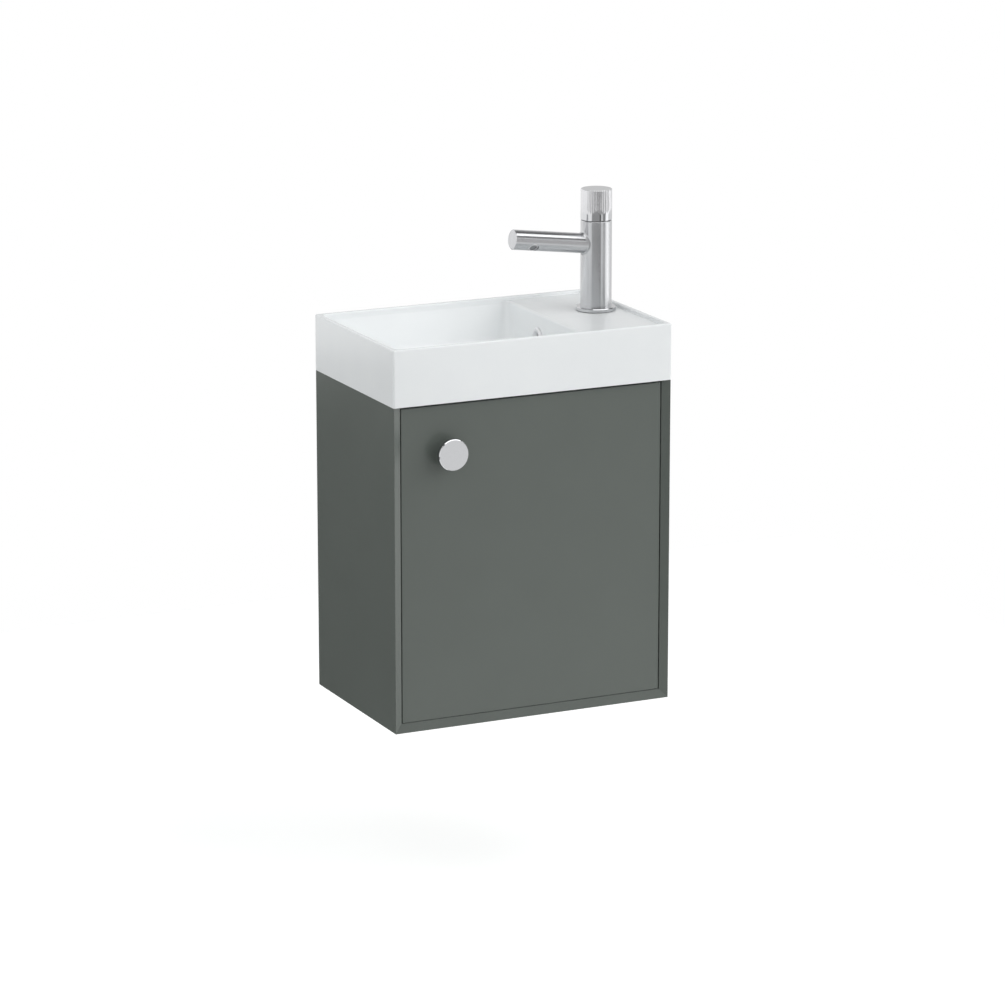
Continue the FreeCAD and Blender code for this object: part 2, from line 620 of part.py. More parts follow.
ARM_SCREWS = [("pivot_x", f"arm_back - arm_grip * {share}") for share in (0.25, 0.7)]
CATCH_SCREWS = [(f"catch_x {sign} (catch_width / 2 - catch_ear)", "catch_front + catch_screw_setback")
                for sign in "-+"]
ARM_X = ("pivot_x - arm_width / 2", "pivot_x + arm_width / 2")
stretcher_blank = box("stretcher_blank", BETWEEN_SIDES, ("stretcher_front", "stretcher_back"),
                      ("rail_low", "cab_top"))
arm_bed = box("arm_bed", ARM_X, ("stretcher_front", "arm_back"), ("arm_low", "cab_top"))
arm_pilots = [cylinder(f"arm_pilot_{index}", "wood_screw / 2 + screw_room",
                       (x, y, "arm_low - wood_screw_length"), "wood_screw_length")
              for index, (x, y) in enumerate(ARM_SCREWS)]
catch_pilots = [cylinder(f"catch_pilot_{index}", "wood_screw / 2 + screw_room", (x, y, "rail_low"),
                         "wood_screw_length")
                for index, (x, y) in enumerate(CATCH_SCREWS)]
stretcher_holes = [hole for side in ("left", "right") for hole in dowel_holes("front_stretcher", side)]
piece("front_stretcher", cut("stretcher_cut", stretcher_blank, arm_bed, *arm_pilots, *catch_pilots,
                             *stretcher_holes))

# Bottom cleats: square strips glued into the two mitred corners
CLEAT_Y = ("0 - rail_thickness - cleat_length", "0 - rail_thickness")
CLEAT_Z = ("inner_base", "inner_base + cleat")
group("bottom_cleats", [
    box("left_cleat", ("0 - inner_half", "cleat - inner_half"), CLEAT_Y, CLEAT_Z),
    box("right_cleat", ("inner_half - cleat", "inner_half"), CLEAT_Y, CLEAT_Z),
])

# Shelf: a loose board on four pins, kept clear of the door's swinging edge
piece("shelf", box("shelf_board", ("shelf_gap - inner_half", "inner_half - shelf_gap"),
                   ("shelf_front", "shelf_back"), ("shelf_low", "shelf_low + shelf_thickness")))

# Door: a board inside the bevelled frame, its front edges softened, bored for the pivots, knob and strike
door_blank = padded("door_blank", "XY_Plane", [
    ("0 - door_half", "door_front"),
    ("door_half", "door_front"),
    ("door_half", "door_back"),
    ("0 - door_half", "door_back"),
], "door_high - door_low", ("0", "0", "door_low"))
door_face = number("door_front")
door_board = door_blank.Tip
round_edges(door_blank, "door_softened", door_board,
            lambda room: max(abs(room.YMin - door_face), abs(room.YMax - door_face)) < 1e-4, "door_round")
pivot_bores = [
    cylinder(f"{end}_pivot_bore", "pivot / 2 + glue_gap", ("pivot_x", "pivot_y", start), "pivot_hold")
    for end, start in (("lower", "door_low"), ("upper", "door_high - pivot_hold"))
]
knob_hole = cylinder("knob_hole", "knob_bolt / 2 + screw_room", ("knob_x", "door_front", "knob_z"),
                     "door_thickness", "y")
strike_pilot = cylinder("strike_pilot", "wood_screw / 2 + screw_room",
                        ("catch_x", "door_back - wood_screw_length", "catch_z"), "wood_screw_length", "y")
piece("door_panel", cut("door_bored", door_blank, *pivot_bores, knob_hole, strike_pilot))

# Pivot pins: two steel pins pressed into the door's lower and upper edges
lower_pin = cylinder("lower_pin", "pivot / 2", ("pivot_x", "pivot_y", "inner_base - bush_depth"),
                     "bush_depth + door_low_gap + pivot_hold")
upper_pin = cylinder("upper_pin", "pivot / 2", ("pivot_x", "pivot_y", "door_high - pivot_hold"),
                     "pivot_hold + arm_high - door_high")
group("pivot_pins", [lower_pin, upper_pin])

# Pivot bushes: the lower one carries the door on its collar, the upper one lines the steel arm's hole
piece("lower_pivot_bush", ring("lower_bush", "bush / 2", "pivot / 2 + running_gap",
                               ("pivot_x", "pivot_y", "inner_base - bush_depth"), "bush_depth + door_low_gap"))
piece("upper_pivot_bush", ring("upper_bush", "bush / 2", "pivot / 2 + running_gap",
                               ("pivot_x", "pivot_y", "arm_low - gasket"), "arm_thickness + gasket"))

# Steel arm: let into the flat rail, it reaches over the door's top edge to the upper pivot
arm_blank = box("arm_blank", ARM_X, ("pivot_y - arm_nose", "arm_back"), ("arm_low", "arm_high"))
arm_bore = cylinder("arm_bore", "bush / 2 + glue_gap", ("pivot_x", "pivot_y", "arm_low"), "arm_thickness")
arm_holes = [cylinder(f"arm_hole_{index}", "wood_screw / 2 + screw_room", (x, y, "arm_low"), "arm_thickness")
             for index, (x, y) in enumerate(ARM_SCREWS)]
arm_sinks = [cylinder(f"arm_sink_{index}", "wood_screw_head / 2 + screw_room",
                      (x, y, "arm_high - arm_thickness / 2"), "arm_thickness / 2")
             for index, (x, y) in enumerate(ARM_SCREWS)]
piece("top_pivot_arm", cut("arm_drilled", arm_blank, arm_bore, *arm_holes, *arm_sinks))
group("pivot_arm_screws", [
    turned(f"arm_screw_{index}", [
        ("0", "0"),
        ("wood_screw / 2", "wood_screw / 2"),
        ("wood_screw / 2", "wood_screw_length + arm_thickness / 2"),
        ("wood_screw_head / 2", "wood_screw_length + arm_thickness / 2"),
        ("wood_screw_head / 2", "wood_screw_length + arm_thickness"),
        ("0", "wood_screw_length + arm_thickness"),
    ], (x, y, "arm_low - wood_screw_length"))
    for index, (x, y) in enumerate(ARM_SCREWS)])

# Magnetic catch under the flat rail: a plastic case, two steel poles, and the strike plate on the door
POLE_HEIGHTS = [f"catch_z {sign} catch_height / 4" for sign in "-+"]
case_blank = box("catch_blank", ("catch_x - catch_width / 2", "catch_x + catch_width / 2"),
                 ("catch_front", "catch_front + catch_length"), ("rail_low - catch_height", "rail_low"))


def pole(name, height):
    return box(name, ("catch_x - pole_width / 2", "catch_x + pole_width / 2"),
               ("pole_front", "pole_front + pole_length"),
               (f"{height} - pole_thickness / 2", f"{height} + pole_thickness / 2"))


case_slots = [pole(f"pole_slot_{index}", height) for index, height in enumerate(POLE_HEIGHTS)]
case_holes = [cylinder(f"case_hole_{index}", "wood_screw / 2 + screw_room", (x, y, "rail_low - catch_height"),
                       "catch_height")
              for index, (x, y) in enumerate(CATCH_SCREWS)]
piece("catch_case", cut("catch_slotted", case_blank, *case_slots, *case_holes))
group("catch_poles", [pole(f"catch_pole_{index}", height) for index, height in enumerate(POLE_HEIGHTS)])
group("catch_screws", [
    turned(f"catch_screw_{index}", [
        ("0", "0 - wood_screw / 2"),
        ("wood_screw_head / 2", "0 - wood_screw / 2"),
        ("wood_screw_head / 2", "0"),
        ("wood_screw / 2", "0"),
        ("wood_screw / 2", "catch_height + wood_screw_length - wood_screw"),
        ("0", "catch_height + wood_screw_length - wood_screw / 2"),
    ], (x, y, "rail_low - catch_height"))
    for index, (x, y) in enumerate(CATCH_SCREWS)])
strike_blank = box("strike_blank", ("catch_x - strike_width / 2", "catch_x + strike_width / 2"),
                   ("door_back", "pole_front"), ("rail_low - catch_height", "rail_low"))
strike_hole = cylinder("strike_hole", "wood_screw / 2 + screw_room", ("catch_x", "door_back", "catch_z"),
                       "strike_thickness", "y")
strike_sink = cylinder("strike_sink", "wood_screw_head / 2 + screw_room",
                       ("catch_x", "pole_front - strike_thickness / 2", "catch_z"),
                       "strike_thickness / 2", "y")
piece("strike_plate", cut("strike_drilled", strike_blank, strike_hole, strike_sink))
piece("strike_screw", turned("strike_fastener", [
    ("0", "0"),
    ("wood_screw / 2", "wood_screw / 2"),
    ("wood_screw / 2", "wood_screw_length - screw_room + strike_thickness / 2"),
    ("wood_screw_head / 2", "wood_screw_length - screw_room + strike_thickness / 2"),
    ("wood_screw_head / 2", "wood_screw_length - screw_room + strike_thickness - head_inset"),
    ("0", "wood_screw_length - screw_room + strike_thickness - head_inset"),
], ("catch_x", "door_back - wood_screw_length + screw_room", "catch_z"), "y"))

# Knob: one turned bar, a flat disc on a waisted stem, held by a bolt from behind the door
piece("door_knob", turned("knob_turning", [
    ("knob_bolt / 2 + screw_room", "0"),
    ("knob_foot / 2", "0"),
    ("knob_foot / 2", "knob_flare"),
    ("knob_stem / 2", "knob_flare + knob_foot / 2 - knob_stem / 2"),
    ("knob_stem / 2", "knob_reach - knob_disc - knob_flare"),
    ("knob_stem / 2 + knob_flare", "knob_reach - knob_disc"),
    ("knob / 2 - knob_chamfer / 2", "knob_reach - knob_disc"),
    ("knob / 2", "knob_reach - knob_disc + knob_chamfer / 2"),
    ("knob / 2", "knob_reach - knob_chamfer"),
    ("knob / 2 - knob_chamfer", "knob_reach"),
    ("0", "knob_reach"),
    ("0", "knob_bolt_hold + screw_room"),
    ("knob_bolt / 2 + screw_room", "knob_bolt_hold + screw_room"),
], ("knob_x", "door_front", "knob_z"), "-y"))
piece("knob_bolt_screw", turned("knob_fastener", [
    ("0", "0"),
    ("knob_bolt_head / 2 - knob_bolt_edge", "0"),
    ("knob_bolt_head / 2", "knob_bolt_edge"),
    ("knob_bolt_head / 2", "knob_bolt_head_height"),
    ("knob_bolt / 2", "knob_bolt_head_height"),
    ("knob_bolt / 2", "knob_bolt_head_height + door_thickness + knob_bolt_hold"),
    ("0", "knob_bolt_head_height + door_thickness + knob_bolt_hold"),
], ("knob_x", "door_back + knob_bolt_head_height", "knob_z"), "-y"))

# Basin: a glazed block with a thin rim, a dropped deck on the right and a bowl with drafted walls.
# It is hollow under the deck, and a duct beside and under the bowl leads the overflow to the waste.
basin_body = doc.addObject("PartDesign::Body", "basin_body")
skirt = basin_body.newObject("PartDesign::Pad", "basin_skirt")
skirt.Profile = rounded_rectangle(basin_body, "basin_plan", "cab_top", ("0 - basin_half", "basin_half"),
                                  ("0 - basin_depth", "0"), "basin_corner")
skirt.setExpression("Length", bound("basin_height"))
rounded_skirt = round_edges(basin_body, "rim_outside", skirt, level_at("basin_high"), "rim_round")
recess = basin_body.newObject("PartDesign::Pocket", "deck_recess")
recess.Profile = rounded_rectangle(basin_body, "deck_plan", "basin_high", ("bowl_left", "0 - bowl_left"),
                                   ("bowl_front", "0 - rim"), "bowl_corner")
recess.setExpression("Length", bound("deck_drop"))
at_rim = level_at("basin_high")
inside_x = number("basin_half - rim / 2")
inside_y = number("rim / 2 - basin_depth")
round_edges(basin_body, "rim_inside", recess,
            lambda room: at_rim(room) and max(-room.XMin, room.XMax) < inside_x and room.YMin > inside_y,
            "rim_round")
mouth = basin_body.newObject("PartDesign::Pocket", "bowl_mouth")
mouth.Profile = rounded_rectangle(basin_body, "mouth_plan", "deck", ("bowl_left", "bowl_right + lip"),
                                  ("bowl_front", "0 - rim"), "bowl_corner + lip")
mouth.setExpression("Length", bound("lip"))
bowl = basin_body.newObject("PartDesign::SubtractiveLoft", "bowl")
bowl.Profile = rounded_rectangle(basin_body, "bowl_plan", "lip_level", ("bowl_left", "bowl_right"),
                                 ("bowl_front", "0 - rim"), "bowl_corner")
bowl.Sections = [rounded_rectangle(basin_body, "floor_plan", "bowl_floor",
                                   ("bowl_left + wall_lean", "bowl_right"),
                                   ("bowl_front + wall_lean", "0 - rim - back_lean"), "floor_corner")]
bowl.Ruled = True
round_edges(basin_body, "bowl_foot", bowl, level_at("bowl_floor"), "bowl_toe")

# The rounded edge between deck and bowl is a bar along the deck with a bend at each end,
# kept inside the front and back walls
LIP_ENDS = {"front": ("bowl_front + bowl_corner", -90), "back": ("0 - rim - bowl_corner", 0)}
lip_bar = cylinder("lip_bar", "lip", ("bowl_right + lip", LIP_ENDS["front"][0], "lip_level"),
                   "basin_depth - 2 * rim - 2 * bowl_corner", "y")
lip_bends = []
for end, (y, turn) in LIP_ENDS.items():
    bend = doc.addObject("Part::Torus", f"lip_{end}_bend")
    bend.setExpression("Radius1", bound("bowl_corner + lip"))
    bend.setExpression("Radius2", bound("lip"))
    bend.Angle3 = 90
    bend.Placement.Rotation = Rotation(Vector(0, 0, 1), turn)
    put(bend, "bowl_right - bowl_corner", y, "lip_level")
    lip_bends.append(bend)
lip_room = box("lip_room", ("bowl_left", "basin_half - rim"), ("bowl_front - rim / 2", "0 - rim / 2"),
               ("bowl_floor", "deck"))
lip_bead = doc.addObject("Part::MultiCommon", "lip_bead")
lip_bead.Shapes = [join("lip_tube", lip_bar, *lip_bends), lip_room]
basin_lipped = join("basin_lipped", basin_body, lip_bead)

deck_hollow = box("deck_hollow", ("bowl_right + duct_wall", "basin_half - ceramic"),
                  ("ceramic - basin_depth", "0 - ceramic"), ("cab_top", "deck_under"))
duct_run = box("duct_run", ("waste_x", "duct_middle + duct / 2"),
               ("waste_y - duct_breadth / 2", "overflow_y + duct_breadth / 2"),
               ("duct_low", "duct_low + duct"))
duct_drop = box("duct_drop", ("duct_middle - duct / 2", "duct_middle + duct / 2"),
                ("overflow_y - duct_breadth / 2", "overflow_y + duct_breadth / 2"),
                ("duct_low", "overflow_z + overflow_mouth / 2"))
overflow_hole = cylinder("overflow_hole", "overflow_sleeve / 2 + glue_gap",
                         ("bowl_right - duct", "overflow_y", "overflow_z"), "duct + duct_wall / 2", "x")
tap_opening = cylinder("tap_opening", "tap_hole / 2", ("tap_x", "tap_y", "deck_under"), "ceramic")
waste_opening = cylinder("waste_opening", "waste_hole / 2", ("waste_x", "waste_y", "cab_top"),
                         "basin_height - bowl_depth")
waste_sink = cylinder("waste_sink", "waste_flange / 2 + trap_gap", ("waste_x", "waste_y", "waste_seat"),
                      "2 * dish_depth")
dish = doc.addObject("Part::Cone", "dish")
dish.setExpression("Radius1", bound("waste_flange / 2 + trap_gap"))
dish.setExpression("Radius2", bound("dish_radius"))
dish.setExpression("Height", bound("dish_depth"))
put(dish, "waste_x", "waste_y", "waste_seat")
piece("basin", cut("basin_finished", basin_lipped, deck_hollow, duct_run, duct_drop, overflow_hole,
                   tap_opening, waste_opening, waste_sink, dish))

# Overflow trim: a chromed ring with a funnel mouth, pressed into the hole in the bowl's right wall
piece("overflow_trim", turned("overflow_turning", [
    ("overflow_bore / 2", "0"),
    ("overflow_mouth / 2", "0 - overflow_lip"),
    ("overflow_ring / 2 - overflow_lip / 2", "0 - overflow_lip"),
    ("overflow_ring / 2", "0 - overflow_lip / 2"),
    ("overflow_ring / 2", "0"),
    ("overflow_sleeve / 2", "0"),
    ("overflow_sleeve / 2", "duct_wall / 2 - duct / 2"),
    ("overflow_bore / 2", "duct_wall / 2 - duct / 2"),
], ("bowl_right", "overflow_y", "overflow_z"), "x"))

# Waste: a flanged threaded tube through the bowl's floor, clamped by a seal and a round nut below it.
# A bridge inside the tube guides the plug's stem, and a slot lets the overflow duct drain.
WASTE_FOOT = ("waste_x", "waste_y", "waste_under")
tube_blank = turned("waste_tube_blank", [
    ("waste_tube / 2 - waste_wall", "0 - waste_length"),
    ("waste_tube / 2", "0 - waste_length"),
    ("waste_tube / 2", "0"),
    ("waste_flange / 2", "0"),
    ("waste_flange / 2", "waste_flange_height - waste_edge"),
    ("waste_flange / 2 - waste_edge", "waste_flange_height"),
    ("waste_tube / 2 - waste_wall + waste_flare", "waste_flange_height"),
    ("waste_tube / 2 - waste_wall", "0"),
], WASTE_FOOT)
BRIDGE_REACH = "(waste_tube / 2 - waste_wall / 2)"
HUB_FOOT = ("waste_x", "waste_y", "spider_top - 2 * spider")
bridge_bar = box("bridge_bar", (f"waste_x - {BRIDGE_REACH}", f"waste_x + {BRIDGE_REACH}"),
                 ("waste_y - spider / 2", "waste_y + spider / 2"), ("spider_top - spider", "spider_top"))
bridge_hub = cylinder("bridge_hub", "plug_stem / 2 + spider", HUB_FOOT, "2 * spider")
hub_bore = cylinder("hub_bore", "plug_stem / 2 + running_gap", HUB_FOOT, "2 * spider")
overflow_slot = box("overflow_slot", ("waste_x", "waste_x + waste_tube"),
                    ("waste_y - duct / 2", "waste_y + duct / 2"),
                    ("duct_low", "duct_low + duct - waste_wall"))
piece("waste_body", cut("waste_bored", join("waste_bridged", tube_blank, bridge_bar, bridge_hub),
                        hub_bore, overflow_slot))
piece("waste_flange_gasket", ring("flange_gasket_ring", "waste_flange / 2 - gasket_inset", "waste_hole / 2",
                                  ("waste_x", "waste_y", "waste_seat"), "gasket"))
piece("waste_seal_ring", ring("waste_seal_turning", "waste_seal_outer / 2", "waste_tube / 2 + trap_gap",
                              ("waste_x", "waste_y", "cab_top - waste_seal"), "waste_seal"))
piece("waste_backnut", ring("waste_nut_turning", "waste_nut / 2", "waste_tube / 2 + trap_gap",
                            ("waste_x", "waste_y", "cab_top - waste_seal - waste_nut_height"),
                            "waste_nut_height"))

# Waste plug: a domed cap on a stem, shown raised, with a rubber ring that closes on the flange
DOME = [(f"plug / 2 * cos({angle})", f"plug_height / 2 * (1 + sin({angle}))") for angle in range(0, 90, 10)]
piece("waste_plug", turned("plug_turning", [
    ("0", "spider_top - 2 * spider - plug_low"),
    ("plug_stem / 2", "spider_top - 2 * spider - plug_low"),
    ("plug_stem / 2", "0"),
    ("plug / 2 - plug_edge", "0"),
    ("plug / 2", "plug_edge"),
    *DOME,
    ("0", "plug_height"),
], ("waste_x", "waste_y", "plug_low")))
piece("plug_seal_ring", ring("plug_seal_turning", "plug_seal_outer / 2", "waste_tube / 2 - waste_wall",
                             ("waste_x", "waste_y", "plug_low - plug_seal"), "plug_seal"))

# Bottle trap: an inlet pipe from the waste dips into the bottle, and an outlet pipe runs to the wall
piece("trap_inlet_nut", turned("inlet_nut_turning", [
    ("pipe_radius + trap_gap", "0"),
    ("waste_tube / 2 + trap_nut_wall", "0"),
    ("waste_tube / 2 + trap_nut_wall", "trap_nut_height + trap_nut_wall"),
    ("waste_tube / 2 + trap_gap", "trap_nut_height + trap_nut_wall"),
    ("waste_tube / 2 + trap_gap", "trap_nut_wall"),
    ("pipe_radius + trap_gap", "trap_nut_wall"),
], ("waste_x", "waste_y", "waste_end - trap_nut_wall")))
piece("trap_inlet_pipe", ring("inlet_pipe_turning", "pipe_radius", "pipe_radius - trap_pipe_wall",
                              ("waste_x", "waste_y", "trap_high - trap_dip"),
                              "waste_end + trap_overlap - trap_high + trap_dip"))
piece("trap_neck_nut", turned("neck_nut_turning", [
    ("nut_bore", "0"),
    ("nut_bore + trap_nut_wall", "0"),
    ("nut_bore + trap_nut_wall", "trap_nut_height"),
    ("pipe_radius + trap_gap", "trap_nut_height"),
    ("pipe_radius + trap_gap", "trap_nut_height - trap_wall"),
    ("nut_bore", "trap_nut_height - trap_wall"),
], ("waste_x", "waste_y", "trap_high + trap_gap")))
bottle = turned("bottle_turning", [
    ("trap_radius - trap_wall", "0"),
    ("trap_radius", "0"),
    ("trap_radius", "trap_height - trap_wall"),
    ("trap_radius - trap_wall", "trap_height"),
    ("socket_radius", "trap_height"),
    ("socket_radius", "trap_height + trap_nut_height - trap_wall"),
    ("pipe_radius + trap_gap", "trap_height + trap_nut_height - trap_wall"),
    ("pipe_radius + trap_gap", "trap_height - trap_wall"),
    ("trap_radius - trap_wall", "trap_height - trap_wall"),
], ("waste_x", "waste_y", "trap_low"))
SOCKET_FOOT = ("waste_x", "waste_y + trap_radius / 2", "trap_outlet_z")
SOCKET_LENGTH = "trap_radius / 2 + trap_outlet_reach"
socket = cylinder("bottle_socket", "socket_radius", SOCKET_FOOT, SOCKET_LENGTH, "y")
socket_bore = cylinder("bottle_socket_bore", "pipe_radius + trap_gap", SOCKET_FOOT, SOCKET_LENGTH, "y")
bottle_inside = cylinder("bottle_inside", "trap_radius - trap_wall", ("waste_x", "waste_y", "trap_low"),
                         "trap_height - trap_wall")
piece("trap_bottle", cut("bottle_bored", join("bottle_socketed", bottle, socket), socket_bore, bottle_inside))
piece("trap_cup", turned("cup_turning", [
    ("0", "0"),
    ("trap_radius + trap_wall", "0"),
    ("trap_radius + trap_wall + trap_gap", "trap_wall"),
    ("trap_radius + trap_wall + trap_gap", "trap_cup_height"),
    ("trap_radius + trap_gap", "trap_cup_height"),
    ("trap_radius + trap_gap", "trap_wall"),
    ("0", "trap_wall"),
], ("waste_x", "waste_y", "trap_low - trap_wall")))
piece("trap_outlet_nut", turned("outlet_nut_turning", [
    ("nut_bore", "0"),
    ("nut_bore + trap_nut_wall", "0"),
    ("nut_bore + trap_nut_wall", "trap_nut_height"),
    ("pipe_radius + trap_gap", "trap_nut_height"),
    ("pipe_radius + trap_gap", "trap_nut_height - trap_wall"),
    ("nut_bore", "trap_nut_height - trap_wall"),
], ("waste_x", "socket_end + trap_wall - trap_nut_height", "trap_outlet_z"), "y"))
BEAD_START = "trap_nut_height + trap_wall + trap_bead"
piece("trap_outlet_pipe", turned("outlet_pipe_turning", [
    ("pipe_radius - trap_pipe_wall", "0"),
    ("pipe_radius", "0"),
    ("pipe_radius", BEAD_START),
    ("pipe_radius + trap_bead", f"{BEAD_START} + trap_bead"),
    ("pipe_radius", f"{BEAD_START} + 2 * trap_bead"),
    ("pipe_radius", "trap_nut_height - socket_end"),
    ("pipe_radius - trap_pipe_wall", "trap_nut_height - socket_end"),
], ("waste_x", "socket_end - trap_nut_height", "trap_outlet_z"), "y"))

# Tap: a round column on a base ring, its spout rising towards its tip, its tail clamped under the deck
AT_TAP = ("tap_x", "tap_y")
piece("tap_gasket", ring("tap_gasket_turning", "flange / 2 - gasket_inset", "tail / 2 + trap_gap",
                         (*AT_TAP, "deck"), "gasket"))
piece("tap_base_ring", turned("base_ring_turning", [
    ("tail / 2 + trap_gap", "0"),
    ("flange / 2", "0"),
    ("flange / 2", "flange_height - handle_chamfer"),
    ("flange / 2 - handle_chamfer", "flange_height"),
    ("tail / 2 + trap_gap", "flange_height"),
], (*AT_TAP, "flange_low")))
column = turned("column_turning", [
    ("0", "tail_end"),
    ("tail / 2", "tail_end"),
    ("tail / 2", "tail_end + tail_free"),
    ("tail / 2 - tail_relief", "tail_end + tail_free"),
    ("tail / 2 - tail_relief", "tail_end + tail_free + 2 * tail_relief"),
    ("tail / 2", "tail_end + tail_free + 2 * tail_relief"),
    ("tail / 2", "0"),
    ("tap_radius", "0"),
    ("tap_radius", "column_high - column_low - handle_chamfer"),
    ("tap_radius - handle_chamfer", "column_high - column_low"),
    ("0", "column_high - column_low"),
], (*AT_TAP, "column_low"))
spout_bar = turned("spout_turning", [
    ("0", "0"),
    ("spout / 2", "0"),
    ("spout / 2", "spout_length - handle_chamfer"),
    ("spout / 2 - handle_chamfer", "spout_length"),
    ("0", "spout_length"),
], (*AT_TAP, "spout_z"))
lean(spout_bar, TOWARDS_SPOUT, ALONG_SPOUT)
tap_blank = join("tap_blank", column, spout_bar)
doc.recompute()
root_height = number("spout / 2")
column_face = number("tap_x - tap_radius")
column_axis = number("tap_x")
root_edges = [index for index, edge in enumerate(tap_blank.Shape.Edges, start=1)
              if column_face < edge.BoundBox.XMax < column_axis and edge.BoundBox.YLength > root_height]
tap_casting = doc.addObject("Part::Fillet", "tap_casting")
tap_casting.Base = tap_blank
tap_casting.Edges = [(index, number("spout_root"), number("spout_root")) for index in root_edges]
valve_chamber = cylinder("valve_chamber", "valve_bore / 2", (*AT_TAP, "valve_low"), "valve_depth")
tail_bore = cylinder("tail_bore", "waterway / 2", (*AT_TAP, "deck - tail_length"),
                     "valve_low - deck + tail_length")
spout_bore = cylinder("spout_bore", "spout / 2 - spout_wall", (*AT_TAP, "spout_z"),
                      "spout_length - 2 * spout_wall")
lean(spout_bore, TOWARDS_SPOUT, ALONG_SPOUT)
outlet_bore = cylinder("outlet_bore", "aerator / 2 + trap_gap", ("outlet_x", "tap_y", "outlet_z"), "spout")
lean(outlet_bore, TOWARDS_FRONT, OUT_OF_SPOUT)
piece("tap_body", cut("tap_bored", tap_casting, valve_chamber, tail_bore, spout_bore, outlet_bore))

aerator_ring = turned("aerator_turning", [
    ("aerator / 2 - aerator_wall", "spout / 2 - aerator_hold"),
    ("aerator / 2", "spout / 2 - aerator_hold"),
    ("aerator / 2", "spout / 2 - aerator_sink - aerator_edge"),
    ("aerator / 2 - aerator_edge", "spout / 2 - aerator_sink"),
    ("aerator / 2 - aerator_wall", "spout / 2 - aerator_sink"),
], ("outlet_x", "tap_y", "outlet_z"))
lean(aerator_ring, TOWARDS_FRONT, OUT_OF_SPOUT)
piece("aerator_housing", aerator_ring)
aerator_disc = turned("aerator_screen_turning", [
    ("0", "screen_low - screen"),
    ("aerator / 2 - aerator_wall - glue_gap", "screen_low - screen"),
    ("aerator / 2 - aerator_wall - glue_gap", "screen_low"),
    ("0", "screen_low"),
], ("outlet_x", "tap_y", "outlet_z"))
lean(aerator_disc, TOWARDS_FRONT, OUT_OF_SPOUT)
piece("aerator_screen", aerator_disc)

# Valve: a brass headwork with a quarter-turn spindle, its two ceramic discs on the chamber's floor
piece("valve_fixed_disc", ring("fixed_disc_turning", "valve_bore / 2 - running_gap", "waterway / 2",
                               (*AT_TAP, "valve_low"), "disc"))
piece("valve_headwork", turned("headwork_turning", [
    ("spindle / 2 + running_gap", "valve_depth - valve_collar"),
    ("spindle / 2 + running_gap", "valve_depth"),
    ("valve_bore / 2 - running_gap", "valve_depth"),
    ("valve_bore / 2 - running_gap", "valve_depth - valve_collar"),
    ("valve_barrel / 2", "valve_depth - valve_collar"),
    ("valve_barrel / 2", "disc"),
    ("valve_barrel / 2 - aerator_wall", "disc"),
    ("valve_barrel / 2 - aerator_wall", "valve_depth - valve_collar"),
], (*AT_TAP, "valve_low")))
piece("valve_spindle", turned("spindle_turning", [
    ("0", "disc + running_gap"),
    ("valve_barrel / 2 - aerator_wall - running_gap", "disc + running_gap"),
    ("valve_barrel / 2 - aerator_wall - running_gap", "2 * disc"),
    ("spindle / 2", "2 * disc"),
    ("spindle / 2", "valve_depth + handle_gap + spindle_hold"),
    ("0", "valve_depth + handle_gap + spindle_hold"),
], (*AT_TAP, "valve_low")))

# Handle: a turned chrome cap with fine upright flutes that stop above a plain band
handle = turned("handle_turning", [
    ("tap_radius - hub_wall", "0"),
    ("tap_radius - handle_chamfer", "0"),
    ("tap_radius", "handle_chamfer"),
    ("tap_radius", "handle_height - handle_chamfer"),
    ("tap_radius - handle_chamfer", "handle_height"),
    ("0", "handle_height"),
    ("0", "spindle_hold + screw_room"),
    ("spindle / 2 + glue_gap", "spindle_hold + screw_room"),
    ("spindle / 2 + glue_gap", "hub_clear"),
    ("tap_radius - hub_wall", "hub_clear"),
], (*AT_TAP, "handle_low"))
flute_plan = new_sketch(handle, "flute_plan", "XY_Plane", "handle_height")
FLUTE_AXIS = "tap_radius + flute / 2 - flute_bite"
flute_circle = Part.Circle(Vector(number(FLUTE_AXIS), 0, 0), Vector(0, 0, 1), number("flute / 2"))
flute_plan.addGeometry(flute_circle, False)
hold(flute_plan, "Radius", "flute / 2", 0)
hold(flute_plan, "DistanceX", FLUTE_AXIS, -1, 1, 0, 3)
flute_plan.addConstraint(Sketcher.Constraint("PointOnObject", 0, 3, -1))
flute = handle.newObject("PartDesign::Pocket", "handle_flute")
flute.Profile = flute_plan
flute.setExpression("Length", bound("flute_length"))
flutes = handle.newObject("PartDesign::PolarPattern", "handle_flutes")
flutes.Originals = [flute]
flutes.Axis = (flute_plan, ["N_Axis"])
flutes.Angle = 360
flutes.setExpression("Occurrences", bound("flute_count"))
handle.Tip = flutes
GRUB_HEIGHT = "handle_low + hub_clear + grub"
grub_hole = cylinder("grub_hole", "grub / 2 + screw_room", ("tap_x", "tap_y", GRUB_HEIGHT), "tap", "y")
piece("tap_handle", cut("handle_drilled", handle, grub_hole))
GRUB_FOOT = ("tap_x", "tap_y + spindle / 2 + glue_gap", GRUB_HEIGHT)
piece("handle_grub_screw", cylinder("grub_screw", "grub / 2", GRUB_FOOT, "grub_length", "y"))

